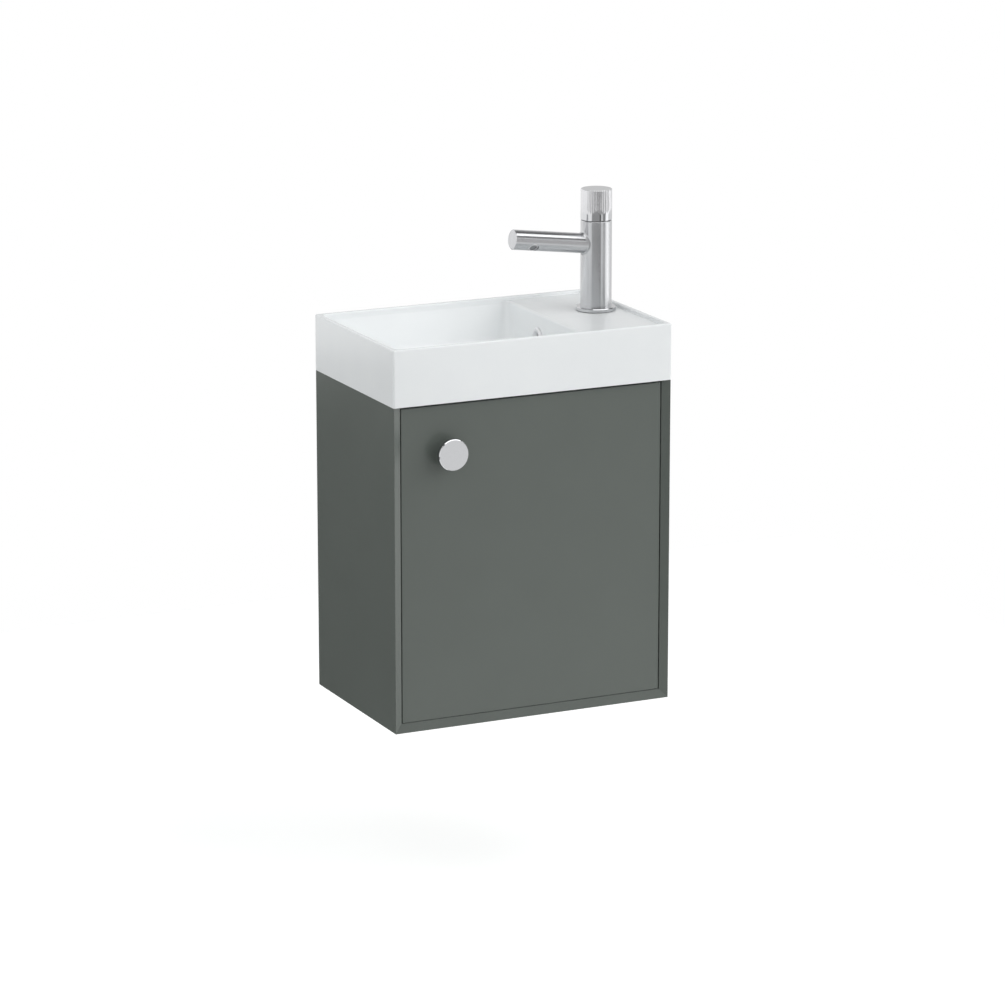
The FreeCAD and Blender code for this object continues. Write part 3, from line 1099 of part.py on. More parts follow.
# Under the deck: a rubber washer and a hexagon nut on the tap's tail
piece("tail_washer_ring", ring("tail_washer_turning", "tail_washer / 2", "tail / 2 + trap_gap",
                               (*AT_TAP, "washer_low"), "tail_washer_thickness"))
nut_blank = doc.addObject("Part::Prism", "backnut_blank")
nut_blank.Polygon = 6
nut_blank.setExpression("Circumradius", bound("backnut / sqrt(3)"))
nut_blank.setExpression("Height", bound("backnut_height"))
put(nut_blank, *AT_TAP, "washer_low - backnut_height")
nut_bore = cylinder("backnut_bore", "tail / 2 + screw_room", (*AT_TAP, "washer_low - backnut_height"),
                    "backnut_height")
piece("tap_backnut", cut("backnut_bored", nut_blank, nut_bore))

doc.recompute()
for item in doc.Objects:
    if {"Invalid", "Error"} & set(item.State):
        raise RuntimeError(f"{item.Name} did not rebuild: {item.State}")
for name, solid in pieces.items():
    if solid.Shape.isNull() or not solid.Shape.isValid() or not solid.Shape.Solids:
        raise RuntimeError(f"{name} has no valid solid")
os.makedirs("parts", exist_ok=True)
for name, solid in pieces.items():
    solid.Shape.exportStep(f"parts/{name}.step")
print(len(pieces), "sub-parts written")
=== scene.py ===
import math

import bmesh
import bpy
from mathutils import Matrix, Vector


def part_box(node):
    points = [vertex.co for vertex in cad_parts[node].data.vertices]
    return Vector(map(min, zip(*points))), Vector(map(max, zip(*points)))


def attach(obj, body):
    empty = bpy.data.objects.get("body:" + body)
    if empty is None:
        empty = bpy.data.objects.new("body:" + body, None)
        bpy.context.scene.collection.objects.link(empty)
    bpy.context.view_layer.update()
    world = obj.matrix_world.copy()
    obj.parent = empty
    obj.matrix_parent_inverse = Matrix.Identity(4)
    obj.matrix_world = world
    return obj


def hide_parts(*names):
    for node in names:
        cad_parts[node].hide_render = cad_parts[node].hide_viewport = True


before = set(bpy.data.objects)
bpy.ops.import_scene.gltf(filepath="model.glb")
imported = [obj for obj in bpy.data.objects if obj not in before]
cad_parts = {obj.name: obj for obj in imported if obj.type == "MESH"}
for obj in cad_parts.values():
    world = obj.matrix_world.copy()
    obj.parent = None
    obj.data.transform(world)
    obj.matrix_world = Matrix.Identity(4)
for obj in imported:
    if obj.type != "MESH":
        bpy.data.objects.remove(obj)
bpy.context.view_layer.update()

# Camera: a long lens in front of the unit's left corner and a little above it, as in the photograph.
# It stands about 6.5 m away, so the boards' edges run nearly parallel.
MM = 0.001
LENS = 159.72
SENSOR = 36
VIEW_DEPTH = 100
CAMERA_PLACE = Vector((-2753.96, -6004.55, 1497.11)) * MM
CAMERA_AIM = Vector((-51.72, -288, -102.66)) * MM
camera_data = bpy.data.cameras.new("camera")
camera_data.lens = LENS
camera_data.sensor_width = SENSOR
camera_data.clip_end = VIEW_DEPTH
camera = bpy.data.objects.new("camera", camera_data)
camera.location = CAMERA_PLACE
camera.rotation_euler = (CAMERA_AIM - CAMERA_PLACE).to_track_quat("-Z", "Y").to_euler()
bpy.context.scene.collection.objects.link(camera)
bpy.context.scene.camera = camera

# Studio: a white room with three big soft lamps, a small spot for the bowl, and cards that only mirrors show.
# The cards give the chrome its grey and bright bands. The camera sees none of this, so the picture stays white.
bpy.context.scene.view_settings.view_transform = "Standard"


def linear(colour):
    """The linear values of an sRGB hex colour."""
    channels = [int(colour[at:at + 2], 16) / 255 for at in (1, 3, 5)]
    return [c / 12.92 if c <= 0.04045 else ((c + 0.055) / 1.055) ** 2.4 for c in channels] + [1]


def add(tree, kind, sockets=None, **settings):
    """Add a node, give it its settings, and fill its sockets with values or links."""
    node = tree.nodes.new(kind)
    for name, value in settings.items():
        setattr(node, name, value)
    for socket, value in (sockets or {}).items():
        if isinstance(value, bpy.types.NodeSocket):
            tree.links.new(value, node.inputs[socket])
        else:
            node.inputs[socket].default_value = value
    return node


def seen(tree):
    """1 for the rays that show the studio itself: to the camera, in mirrors and through glass."""
    rays = add(tree, "ShaderNodeLightPath")
    mirrored = add(tree, "ShaderNodeMath", {
        0: rays.outputs["Is Camera Ray"], 1: rays.outputs["Is Glossy Ray"]}, operation="MAXIMUM")
    return add(tree, "ShaderNodeMath", {0: mirrored.outputs[0], 1: rays.outputs["Is Transmission Ray"]},
               operation="MAXIMUM").outputs[0]


ROOM_LIGHT = "#AFB1B2"
world = bpy.data.worlds.new("studio")
bpy.context.scene.world = world
world.use_nodes = True
studio = world.node_tree
room = add(studio, "ShaderNodeMix", {0: seen(studio), 6: linear(ROOM_LIGHT), 7: linear("#FFFFFF")},
           data_type="RGBA")
studio.links.new(room.outputs[2], studio.nodes["Background"].inputs["Color"])


def hang(lamp, place, aim):
    """Hang a lamp at a place, turned to a point. Neither the camera nor mirrors show it."""
    hung = bpy.data.objects.new(lamp.name, lamp)
    hung.location = place
    hung.rotation_euler = (aim - place).to_track_quat("-Z", "Y").to_euler()
    hung.visible_camera = False
    hung.visible_glossy = False
    bpy.context.scene.collection.objects.link(hung)


# Lamps: name, width, direction to it from the unit, and the light that it gives to a surface that faces it
LAMPS = [
    ("key_lamp", 2.8, Vector((0.60, -0.62, 0.50)), 0.62),
    ("left_lamp", 2.0, Vector((-0.70, -0.20, 0.68)), 0.16),
    ("back_lamp", 1.6, Vector((-0.85, 0.45, 0.28)), 0.10),
]
LAMP_DISTANCE = 2.6
LIT_SPOT = Vector((0, -0.15, 0))
for name, width, direction, light in LAMPS:
    lamp = bpy.data.lights.new(name, "AREA")
    lamp.shape = "SQUARE"
    lamp.size = width
    lamp.energy = light * (math.pi * LAMP_DISTANCE) ** 2
    hang(lamp, LIT_SPOT + direction.normalized() * LAMP_DISTANCE, LIT_SPOT)

# A small soft spot looks into the bowl over its front rim, so that the bowl is as light as the outside
BOWL_SPOT_PLACE = Vector((-0.40, -0.95, 1.00))
BOWL_SPOT_AIM = Vector((-0.06, -0.06, 0.11))
BOWL_SPOT_REACH = 0.19
BOWL_SPOT_FADE = 0.9
BOWL_SPOT_SIZE = 0.15
BOWL_SPOT_WATTS = 10
lamp = bpy.data.lights.new("bowl_spot", "SPOT")
lamp.energy = BOWL_SPOT_WATTS
lamp.spot_size = 2 * math.atan(BOWL_SPOT_REACH / (BOWL_SPOT_AIM - BOWL_SPOT_PLACE).length)
lamp.spot_blend = BOWL_SPOT_FADE
lamp.shadow_soft_size = BOWL_SPOT_SIZE
hang(lamp, BOWL_SPOT_PLACE, BOWL_SPOT_AIM)


def card(name, corners, brightness):
    """A glowing card that shows in mirrors alone: corners in metres, and brightness, where white is 1."""
    pane = bmesh.new()
    bmesh.ops.contextual_create(pane, geom=[pane.verts.new(corner) for corner in corners])
    data = bpy.data.meshes.new(name)
    pane.to_mesh(data)
    pane.free()
    sheet = bpy.data.objects.new(name, data)
    sheet.visible_camera = False
    sheet.visible_diffuse = False
    sheet.visible_shadow = False
    bpy.context.scene.collection.objects.link(sheet)
    paint = bpy.data.materials.new(name)
    paint.use_nodes = True
    glow = add(paint.node_tree, "ShaderNodeEmission", {"Strength": brightness})
    paint.node_tree.links.new(glow.outputs[0], paint.node_tree.nodes["Material Output"].inputs["Surface"])
    data.materials.append(paint)


# Wall cards stand round the tap: name, first and last degree from straight in front towards the right,
# lower and upper edge in metres, and brightness
WALL_CARDS = [
    ("side_wall", -172, -62, -0.42, 1.3, 1.22),
    ("left_wall", -58, -1, -0.42, 1.3, 0.42),
    ("dark_strip", -1, 8, -0.42, 1.3, 0.05),
    ("middle_wall", 8, 24, -0.42, 1.3, 0.85),
    ("grey_wall", 24, 44, -0.42, 1.0, 0.36),
    ("bright_panel", 47, 73, -0.42, 1.3, 1.65),
    ("low_panel", 68, 92, -1.1, -0.3, 2.2),
    ("front_flag", -66, 0, -1.3, -0.42, 0.20),
    ("back_wall", 130, 175, -0.42, 2.0, 0.75),
]
WALL_RADIUS = 2.2
foot, head = [Vector(corner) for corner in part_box("tap_base_ring")]
tap_axis = (foot + head) / 2
for name, first, last, low, high, brightness in WALL_CARDS:
    turns = [math.radians(first), math.radians(last)]
    left, right = [
        (tap_axis.x + WALL_RADIUS * math.sin(turn), tap_axis.y - WALL_RADIUS * math.cos(turn))
        for turn in turns]
    card(name, [(*left, low), (*right, low), (*right, high), (*left, high)], brightness)

# A dark card low at the left, behind the unit, which keeps the glare off the cabinet's side
card("side_flag", [(-1.00, 0.0, -0.70), (0.0, 0.45, -0.70), (0.12, 0.99, -0.08), (-1.32, 0.31, -0.08)], 0.15)
# A pale card behind the unit, which keeps the glare at the basin's right corner below white
card("back_screen", [(0.12, 0.99, -0.70), (2.4, 0.99, -0.70), (2.4, 0.99, 0.10), (0.12, 0.99, 0.10)], 0.8)

# Ceiling cards: name, left, right, front, back and level in metres, and brightness
CEILING_CARDS = [
    ("dark_ceiling", -3.0, 5.0, -5.0, 2.5, 3.0, 0.20),
    ("ceiling_panel", -2.0, 4.0, -1.90, -0.40, 2.9, 2.5),
]
for name, left, right, front, back, level, brightness in CEILING_CARDS:
    corners = [(left, front, level), (right, front, level), (right, back, level), (left, back, level)]
    card(name, corners, brightness)

# Floor: a plain pale sheet, painted matt, 0.85 m under the basin's rim.
# The camera sees it a little lighter, so that it meets the white walls without a line and keeps the shadow.
FLOOR_HALF = 1.4
FLOOR_LEVEL = -0.71
FLOOR_LIFT = 0.45
bpy.ops.mesh.primitive_plane_add(size=2 * FLOOR_HALF, location=(0, 0, FLOOR_LEVEL))
floor = bpy.context.object
floor.name = "floor"


def new_material(name):
    """A material with its node tree, its main shader and the piece's own coordinates."""
    material = bpy.data.materials.new(name)
    material.use_nodes = True
    tree = material.node_tree
    return material, tree, tree.nodes["Principled BSDF"], add(tree, "ShaderNodeTexCoord").outputs["Object"]


floor_paint, tree, shader, spot = new_material("pale_matt_floor")
patches = add(tree, "ShaderNodeTexNoise", {"Vector": spot, "Scale": 1 / (300 * MM), "Detail": 3})
tones = add(tree, "ShaderNodeMix", {0: patches.outputs[0], 6: linear("#F3F3F1"), 7: linear("#F8F8F7")},
            data_type="RGBA")
tree.links.new(tones.outputs[2], shader.inputs["Base Color"])
shader.inputs["Roughness"].default_value = 0.8
lift = add(tree, "ShaderNodeMath", {0: seen(tree), 1: FLOOR_LIFT}, operation="MULTIPLY")
shader.inputs["Emission Color"].default_value = linear("#FFFFFF")
tree.links.new(lift.outputs[0], shader.inputs["Emission Strength"])
floor.data.materials.append(floor_paint)

# Cabinet sides, bottom and door: fibreboard, cut, mitred and sprayed with a satin grey-green lacquer.
# The sides and the bottom are glued at the mitres, and the door hangs inside their bevelled front edges.


def dress(material, *names):
    """Give CAD nodes their finished material."""
    for name in names:
        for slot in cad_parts[name].material_slots:
            slot.material = material


# Sprayed lacquer: an even colour with a faint drift of tone, and an orange peel that softens its reflections
lacquer, tree, shader, spot = new_material("sprayed_satin_lacquer")
drift = add(tree, "ShaderNodeTexNoise", {"Vector": spot, "Scale": 1 / (90 * MM), "Detail": 4})
tones = add(tree, "ShaderNodeMix", {0: drift.outputs[0], 6: linear("#5C625D"), 7: linear("#616762")},
            data_type="RGBA")
tree.links.new(tones.outputs[2], shader.inputs["Base Color"])
sheen = add(tree, "ShaderNodeMapRange", {"Value": drift.outputs[0], "To Min": 0.28, "To Max": 0.36})
tree.links.new(sheen.outputs[0], shader.inputs["Roughness"])
peel = add(tree, "ShaderNodeTexNoise", {"Vector": spot, "Scale": 1 / (1.6 * MM), "Detail": 2})
relief = add(tree, "ShaderNodeBump", {"Height": peel.outputs[0], "Distance": 0.02 * MM, "Strength": 0.6})
tree.links.new(relief.outputs[0], shader.inputs["Normal"])
dress(lacquer, "left_side_panel", "right_side_panel", "bottom_panel", "door_panel")

# Rails, stretcher, shelf and cleats: melamine-faced chipboard, sawn and edged.
# The rails are glued and dowelled between the sides, the cleats glued in, and the shelf lies on pins.
# Pressed melamine: a matt film with a fine grain of shallow pores
melamine, tree, shader, spot = new_material("pressed_matt_melamine")
drift = add(tree, "ShaderNodeTexNoise", {"Vector": spot, "Scale": 1 / (25 * MM), "Detail": 5})
tones = add(tree, "ShaderNodeMix", {0: drift.outputs[0], 6: linear("#777B75"), 7: linear("#80847E")},
            data_type="RGBA")
tree.links.new(tones.outputs[2], shader.inputs["Base Color"])
shader.inputs["Roughness"].default_value = 0.6
pores = add(tree, "ShaderNodeTexVoronoi", {"Vector": spot, "Scale": 1 / (1.2 * MM)})
relief = add(tree, "ShaderNodeBump", {
    "Height": pores.outputs["Distance"], "Distance": 0.03 * MM, "Strength": 0.5})
tree.links.new(relief.outputs[0], shader.inputs["Normal"])
dress(melamine, "hanging_rail", "lower_back_rail", "front_stretcher", "shelf", "bottom_cleats")

# Dowels: turned beech pegs, glued into the rails' ends.
# Turned beech: long pale grain with darker flecks
beech, tree, shader, spot = new_material("turned_beech")
along = add(tree, "ShaderNodeMapping", {"Vector": spot, "Scale": (0.1, 1, 1)})
grain = add(tree, "ShaderNodeTexNoise", {"Vector": along.outputs[0], "Scale": 1 / (0.8 * MM), "Detail": 6})
tones = add(tree, "ShaderNodeMix", {0: grain.outputs[0], 6: linear("#B98E62"), 7: linear("#DDB98C")},
            data_type="RGBA")
tree.links.new(tones.outputs[2], shader.inputs["Base Color"])
shader.inputs["Roughness"].default_value = 0.65
relief = add(tree, "ShaderNodeBump", {"Height": grain.outputs[0], "Distance": 0.05 * MM, "Strength": 0.5})
tree.links.new(relief.outputs[0], shader.inputs["Normal"])
dress(beech, "rail_dowels")

# Basin: one slip-cast block of fireclay with the bowl, the deck and the hollow under it, glazed and fired.
# It stands on the cabinet's edges.
# Fired glaze: a clear glossy white that is a touch uneven, so reflections waver slightly
glaze, tree, shader, spot = new_material("fired_white_glaze")
flow = add(tree, "ShaderNodeTexNoise", {"Vector": spot, "Scale": 1 / (45 * MM), "Detail": 3})
tones = add(tree, "ShaderNodeMix", {0: flow.outputs[0], 6: linear("#F5F7F8"), 7: linear("#F8FAFA")},
            data_type="RGBA")
tree.links.new(tones.outputs[2], shader.inputs["Base Color"])
gloss = add(tree, "ShaderNodeMapRange", {"Value": flow.outputs[0], "To Min": 0.20, "To Max": 0.28})
tree.links.new(gloss.outputs[0], shader.inputs["Roughness"])
relief = add(tree, "ShaderNodeBump", {"Height": flow.outputs[0], "Distance": 0.15 * MM, "Strength": 0.4})
tree.links.new(relief.outputs[0], shader.inputs["Normal"])
dress(glaze, "basin")

# Knob, waste, plug and the tap's base ring: turned brass, polished and plated with chrome.
# The knob is bolted through the door, and the waste is clamped in the basin by its nut.
# Chrome plate: a cool mirror, with a faint haze from polishing
chrome, tree, shader, spot = new_material("polished_chrome_plate")
haze = add(tree, "ShaderNodeTexNoise", {"Vector": spot, "Scale": 1 / (6 * MM), "Detail": 4})
tones = add(tree, "ShaderNodeMix", {0: haze.outputs[0], 6: linear("#C4C5C7"), 7: linear("#C9CACC")},
            data_type="RGBA")
tree.links.new(tones.outputs[2], shader.inputs["Base Color"])
shader.inputs["Metallic"].default_value = 1
gloss = add(tree, "ShaderNodeMapRange", {"Value": haze.outputs[0], "To Min": 0.06, "To Max": 0.11})
tree.links.new(gloss.outputs[0], shader.inputs["Roughness"])
dress(chrome, "door_knob", "tap_base_ring", "waste_body", "waste_plug")

# Overflow ring and the ring in the tap's outlet: brass, turned, blasted and plated, pushed into their holes.
# Satin chrome: an even sheen without sharp reflections, from the blasted roughness; its colour is painted
# lighter than the polished chrome's, a painted lightness that makes the small rings look pale
satin, tree, shader, spot = new_material("satin_chrome_plate")
blasting = add(tree, "ShaderNodeTexNoise", {"Vector": spot, "Scale": 1 / (1.5 * MM), "Detail": 3})
# Painted light: these tones are lighter than the chrome itself, so that the rings read pale
tones = add(tree, "ShaderNodeMix", {0: blasting.outputs[0], 6: linear("#E4E4E6"), 7: linear("#EBEBEC")},
            data_type="RGBA")
tree.links.new(tones.outputs[2], shader.inputs["Base Color"])
shader.inputs["Metallic"].default_value = 1
gloss = add(tree, "ShaderNodeMapRange", {"Value": blasting.outputs[0], "To Min": 0.40, "To Max": 0.50})
tree.links.new(gloss.outputs[0], shader.inputs["Roughness"])
dress(satin, "overflow_trim", "aerator_housing")

# Tap body: the column and spout are turned from brass bar, joined, lightly brushed round and plated.
# It stands on the deck, held by its tail and a nut below.
# Turned chrome: fine lines round the bar, under the plate, draw its reflections out lengthwise
SPOUT_RISE = math.radians(7.3)
COLUMN_REACH = 24 * MM
turned, tree, shader, spot = new_material("turned_chrome_plate")
place = add(tree, "ShaderNodeSeparateXYZ", {0: spot})
in_column = add(tree, "ShaderNodeMath", {0: place.outputs["X"], 1: tap_axis.x - COLUMN_REACH},
                operation="GREATER_THAN")
lengthwise = add(tree, "ShaderNodeMix", {
    0: in_column.outputs[0], 4: (-math.cos(SPOUT_RISE), 0, math.sin(SPOUT_RISE)), 5: (0, 0, 1)},
    data_type="VECTOR")
tree.links.new(lengthwise.outputs[1], shader.inputs["Tangent"])
haze = add(tree, "ShaderNodeTexNoise", {"Vector": spot, "Scale": 1 / (6 * MM), "Detail": 4})
tones = add(tree, "ShaderNodeMix", {0: haze.outputs[0], 6: linear("#C4C5C7"), 7: linear("#C9CACC")},
            data_type="RGBA")
tree.links.new(tones.outputs[2], shader.inputs["Base Color"])
shader.inputs["Metallic"].default_value = 1
shader.inputs["Anisotropic"].default_value = 1
gloss = add(tree, "ShaderNodeMapRange", {"Value": haze.outputs[0], "To Min": 0.24, "To Max": 0.28})
tree.links.new(gloss.outputs[0], shader.inputs["Roughness"])
dress(turned, "tap_body")

# Tap handle: a turned brass cap, milled with fine upright flutes that run out above a plain band, and plated.
# It sits on the valve's spindle and is held by a grub screw at the back.
FLUTES = 48
STEPS_PER_FLUTE = 8
FLUTE_DEPTH = 0.5 * MM
FLUTES_START = 9 * MM
FLUTES_FULL = 18 * MM
RUN_OUT_STEPS = 9
EDGE = 0.8 * MM
FOOT_DROP = 0.5 * MM
HUB_WALL = 6 * MM
HUB_HOLLOW = 6 * MM
SPINDLE_BORE = 8.1 * MM
SPINDLE_HOLD = 34.1 * MM
GRUB_BORE = 4.2 * MM
GRUB_HEIGHT = 10 * MM
CREASE = math.radians(35)
SAME_POINT = 0.001 * MM
foot, head = [Vector(corner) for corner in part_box("tap_handle")]
axis = (foot + head) / 2
radius = (head.x - foot.x) / 2
height = head.z - foot.z


def link_piece(name, mesh):
    """Turn a bmesh into a smooth-shaded object with crisp edges."""
    bmesh.ops.recalc_face_normals(mesh, faces=mesh.faces)
    data = bpy.data.meshes.new(name)
    mesh.to_mesh(data)
    mesh.free()
    data.shade_smooth()
    data.set_sharp_from_angle(angle=CREASE)
    made = bpy.data.objects.new(name, data)
    bpy.context.scene.collection.objects.link(made)
    return made


# The half section, as radius and level above the foot: down the spindle's bore, out and up the outside.
# The foot is a little lower than the CAD node's, so that the joint under it is as thin as in the photograph.
half_section = [
    (0, SPINDLE_HOLD),
    (SPINDLE_BORE / 2, SPINDLE_HOLD),
    (SPINDLE_BORE / 2, HUB_HOLLOW),
    (radius - HUB_WALL, HUB_HOLLOW),
    (radius - HUB_WALL, -FOOT_DROP),
    (radius - EDGE, -FOOT_DROP),
    (radius, EDGE - FOOT_DROP),
]
RUN_OUT = FLUTES_FULL - FLUTES_START
half_section += [(radius, FLUTES_START + RUN_OUT * step / RUN_OUT_STEPS) for step in range(RUN_OUT_STEPS + 1)]
half_section += [(radius, height - EDGE), (radius - EDGE, height), (0, height)]
turning = bmesh.new()
outline = [turning.verts.new((axis.x + wide, axis.y, foot.z + level)) for wide, level in half_section]
runs = [turning.edges.new(pair) for pair in zip(outline, outline[1:])]
bmesh.ops.spin(turning, geom=outline + runs, cent=axis, axis=(0, 0, 1), angle=2 * math.pi,
               steps=FLUTES * STEPS_PER_FLUTE, use_merge=True)
bmesh.ops.remove_doubles(turning, verts=turning.verts, dist=SAME_POINT)
# Each flute is pulled in from the round, and gets shallower towards the plain band
for point in turning.verts:
    out = Vector((point.co.x - axis.x, point.co.y - axis.y))
    level = point.co.z - foot.z
    if out.length > radius - EDGE / 2 and level > FLUTES_START:
        share = min(1, (level - FLUTES_START) / RUN_OUT)
        deep = FLUTE_DEPTH * share ** 2 * (3 - 2 * share)
        pull = deep * (0.5 + 0.5 * math.cos(FLUTES * math.atan2(out.y, out.x))) / out.length
        point.co.x -= out.x * pull
        point.co.y -= out.y * pull
handle = link_piece("fluted_handle", turning)

# The grub screw's hole is drilled in from the back, to the spindle's bore
DRILL_STEPS = 24
drilling = bmesh.new()
drill_place = Matrix.Translation((axis.x, axis.y + radius, foot.z + GRUB_HEIGHT))
level_out = Matrix.Rotation(math.pi / 2, 4, "X")
bmesh.ops.create_cone(drilling, cap_ends=True, segments=DRILL_STEPS, radius1=GRUB_BORE / 2,
                      radius2=GRUB_BORE / 2, depth=2 * radius, matrix=drill_place @ level_out)
drill = link_piece("grub_drill", drilling)
drilled = handle.modifiers.new("grub_hole", "BOOLEAN")
drilled.object = drill
drilled.solver = "EXACT"
handle.data = bpy.data.meshes.new_from_object(handle.evaluated_get(bpy.context.evaluated_depsgraph_get()))
handle.modifiers.clear()
bpy.data.objects.remove(drill)
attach(handle, "handle")
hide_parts("tap_handle")

# Fluted chrome: a mirror on the plain band, softer where the flutes' polished edges break it up; the flutes'
# lighter colour is a painted highlight that stands in for the glints on their edges
fluted, tree, shader, spot = new_material("fluted_chrome_plate")
haze = add(tree, "ShaderNodeTexNoise", {"Vector": spot, "Scale": 1 / (6 * MM), "Detail": 4})
plain = add(tree, "ShaderNodeMix", {0: haze.outputs[0], 6: linear("#C4C5C7"), 7: linear("#C9CACC")},
            data_type="RGBA")
level = add(tree, "ShaderNodeSeparateXYZ", {0: spot})
milled_band_and_painted_glint = add(tree, "ShaderNodeMapRange", {
    "Value": level.outputs["Z"], "From Min": foot.z + FLUTES_START, "From Max": foot.z + FLUTES_FULL})
# Painted highlight: the fluted band is coloured lighter than the plain chrome
tones = add(tree, "ShaderNodeMix", {0: milled_band_and_painted_glint.outputs[0], 6: plain.outputs[2], 7: linear("#D4D4D6")},
            data_type="RGBA")
tree.links.new(tones.outputs[2], shader.inputs["Base Color"])
shader.inputs["Metallic"].default_value = 1
gloss = add(tree, "ShaderNodeMapRange", {"Value": milled_band_and_painted_glint.outputs[0], "To Min": 0.10, "To Max": 0.24})
tree.links.new(gloss.outputs[0], shader.inputs["Roughness"])
# The flat top and foot are turned, so they keep the plain chrome
LEVEL_FACE = 0.9
handle.data.materials.clear()
handle.data.materials.append(fluted)
handle.data.materials.append(chrome)
for face in handle.data.polygons:
    if abs(face.normal.z) > LEVEL_FACE:
        face.material_index = 1

# Screws, pins, plates and the pivot arm: steel, pressed or turned, with a zinc coat.
# Zinc plate: a bluish grey with a fine spangle
zinc, tree, shader, spot = new_material("zinc_plated_steel")
spangle = add(tree, "ShaderNodeTexVoronoi", {"Vector": spot, "Scale": 1 / (0.9 * MM)})
tones = add(tree, "ShaderNodeMix", {
    0: spangle.outputs["Distance"], 6: linear("#A9ADB2"), 7: linear("#BFC2C5")}, data_type="RGBA")
tree.links.new(tones.outputs[2], shader.inputs["Base Color"])
shader.inputs["Metallic"].default_value = 1
gloss = add(tree, "ShaderNodeMapRange", {
    "Value": spangle.outputs["Distance"], "To Min": 0.28, "To Max": 0.42})
tree.links.new(gloss.outputs[0], shader.inputs["Roughness"])
dress(zinc, "catch_poles", "catch_screws", "strike_plate", "strike_screw", "top_pivot_arm",
      "pivot_arm_screws", "pivot_pins", "shelf_pins", "knob_bolt_screw", "handle_grub_screw")

# Valve headwork, spindle and backnut: turned brass bar.
# Machined brass: warm yellow with fine turning lines round the axis
brass, tree, shader, spot = new_material("machined_brass")
lines = add(tree, "ShaderNodeTexWave", {"Vector": spot, "Scale": 1 / (6 * MM), "Distortion": 0.4},
            bands_direction="Z")
tones = add(tree, "ShaderNodeMix", {0: lines.outputs[0], 6: linear("#B8924A"), 7: linear("#CFAD66")},
            data_type="RGBA")
tree.links.new(tones.outputs[2], shader.inputs["Base Color"])
shader.inputs["Metallic"].default_value = 1
shader.inputs["Roughness"].default_value = 0.28
relief = add(tree, "ShaderNodeBump", {"Height": lines.outputs[0], "Distance": 0.03 * MM, "Strength": 0.5})
tree.links.new(relief.outputs[0], shader.inputs["Normal"])
dress(brass, "valve_headwork", "valve_spindle", "tap_backnut")

# Gaskets, seals and washers: moulded black rubber, squeezed under the flanges.
# Moulded rubber: nearly black and dull, with a faint bloom
rubber, tree, shader, spot = new_material("moulded_black_rubber")
bloom = add(tree, "ShaderNodeTexNoise", {"Vector": spot, "Scale": 1 / (2 * MM), "Detail": 4})
tones = add(tree, "ShaderNodeMix", {0: bloom.outputs[0], 6: linear("#1D1D1E"), 7: linear("#2C2C2D")},
            data_type="RGBA")
tree.links.new(tones.outputs[2], shader.inputs["Base Color"])
shader.inputs["Roughness"].default_value = 0.7
relief = add(tree, "ShaderNodeBump", {"Height": bloom.outputs[0], "Distance": 0.03 * MM, "Strength": 0.5})
tree.links.new(relief.outputs[0], shader.inputs["Normal"])
dress(rubber, "tap_gasket", "waste_flange_gasket", "waste_seal_ring", "plug_seal_ring", "tail_washer_ring")

# Pivot bushes and catch case: moulded nylon, pushed into place.
# Moulded nylon: milky white with a fine spark-eroded grain
nylon, tree, shader, spot = new_material("moulded_nylon")
grit = add(tree, "ShaderNodeTexNoise", {"Vector": spot, "Scale": 1 / (0.6 * MM), "Detail": 3})
tones = add(tree, "ShaderNodeMix", {0: grit.outputs[0], 6: linear("#DCDCD6"), 7: linear("#E6E6E1")},
            data_type="RGBA")
tree.links.new(tones.outputs[2], shader.inputs["Base Color"])
shader.inputs["Roughness"].default_value = 0.5
relief = add(tree, "ShaderNodeBump", {"Height": grit.outputs[0], "Distance": 0.03 * MM, "Strength": 0.5})
tree.links.new(relief.outputs[0], shader.inputs["Normal"])
dress(nylon, "lower_pivot_bush", "upper_pivot_bush", "catch_case")

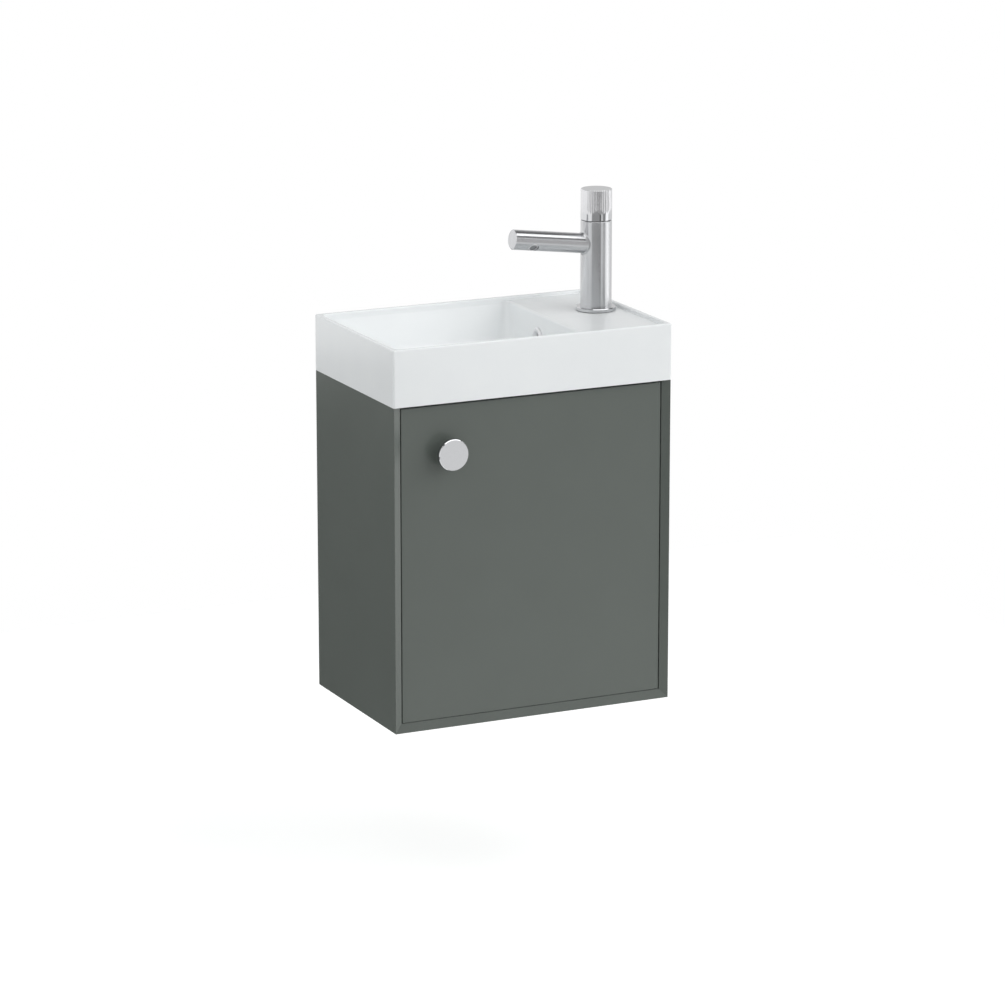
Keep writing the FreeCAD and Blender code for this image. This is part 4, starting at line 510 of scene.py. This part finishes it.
# Aerator screen: a grey moulded nylon mesh behind the outlet's ring, clipped in.
# Grey nylon: a matt grey with darker spots where the mesh's openings would be, painted shade for holes that are
# not modelled
screen, tree, shader, spot = new_material("grey_nylon_mesh")
painted_hole_shade = add(tree, "ShaderNodeTexVoronoi", {"Vector": spot, "Scale": 1 / (1.4 * MM)})
# Painted shade: the dark end of this mix marks the unmodelled openings
tones = add(tree, "ShaderNodeMix", {
    0: painted_hole_shade.outputs["Distance"], 6: linear("#6E7072"), 7: linear("#9FA1A3")}, data_type="RGBA")
tree.links.new(tones.outputs[2], shader.inputs["Base Color"])
shader.inputs["Roughness"].default_value = 0.5
dress(screen, "aerator_screen")

# Bottle trap and waste nut: moulded polypropylene, screwed together by hand over rubber seals.
# Moulded polypropylene: a soft white sheen with faint flow marks
polypropylene, tree, shader, spot = new_material("moulded_polypropylene")
flow = add(tree, "ShaderNodeTexNoise", {
    "Vector": spot, "Scale": 1 / (14 * MM), "Detail": 3, "Distortion": 1.5})
tones = add(tree, "ShaderNodeMix", {0: flow.outputs[0], 6: linear("#E4E4DF"), 7: linear("#EEEEEA")},
            data_type="RGBA")
tree.links.new(tones.outputs[2], shader.inputs["Base Color"])
gloss = add(tree, "ShaderNodeMapRange", {"Value": flow.outputs[0], "To Min": 0.26, "To Max": 0.36})
tree.links.new(gloss.outputs[0], shader.inputs["Roughness"])
relief = add(tree, "ShaderNodeBump", {"Height": flow.outputs[0], "Distance": 0.04 * MM, "Strength": 0.5})
tree.links.new(relief.outputs[0], shader.inputs["Normal"])
dress(polypropylene, "trap_inlet_nut", "trap_inlet_pipe", "trap_neck_nut", "trap_bottle", "trap_cup",
      "trap_outlet_nut", "trap_outlet_pipe", "waste_backnut")

# Valve disc: a lapped alumina disc, seated in the tap's chamber.
# Lapped alumina: warm white, smooth, with a faint cloud
alumina, tree, shader, spot = new_material("lapped_alumina")
cloud = add(tree, "ShaderNodeTexNoise", {"Vector": spot, "Scale": 1 / (3 * MM), "Detail": 3})
tones = add(tree, "ShaderNodeMix", {0: cloud.outputs[0], 6: linear("#E4DDCC"), 7: linear("#EEE8DA")},
            data_type="RGBA")
tree.links.new(tones.outputs[2], shader.inputs["Base Color"])
shader.inputs["Roughness"].default_value = 0.22
dress(alumina, "valve_fixed_disc")
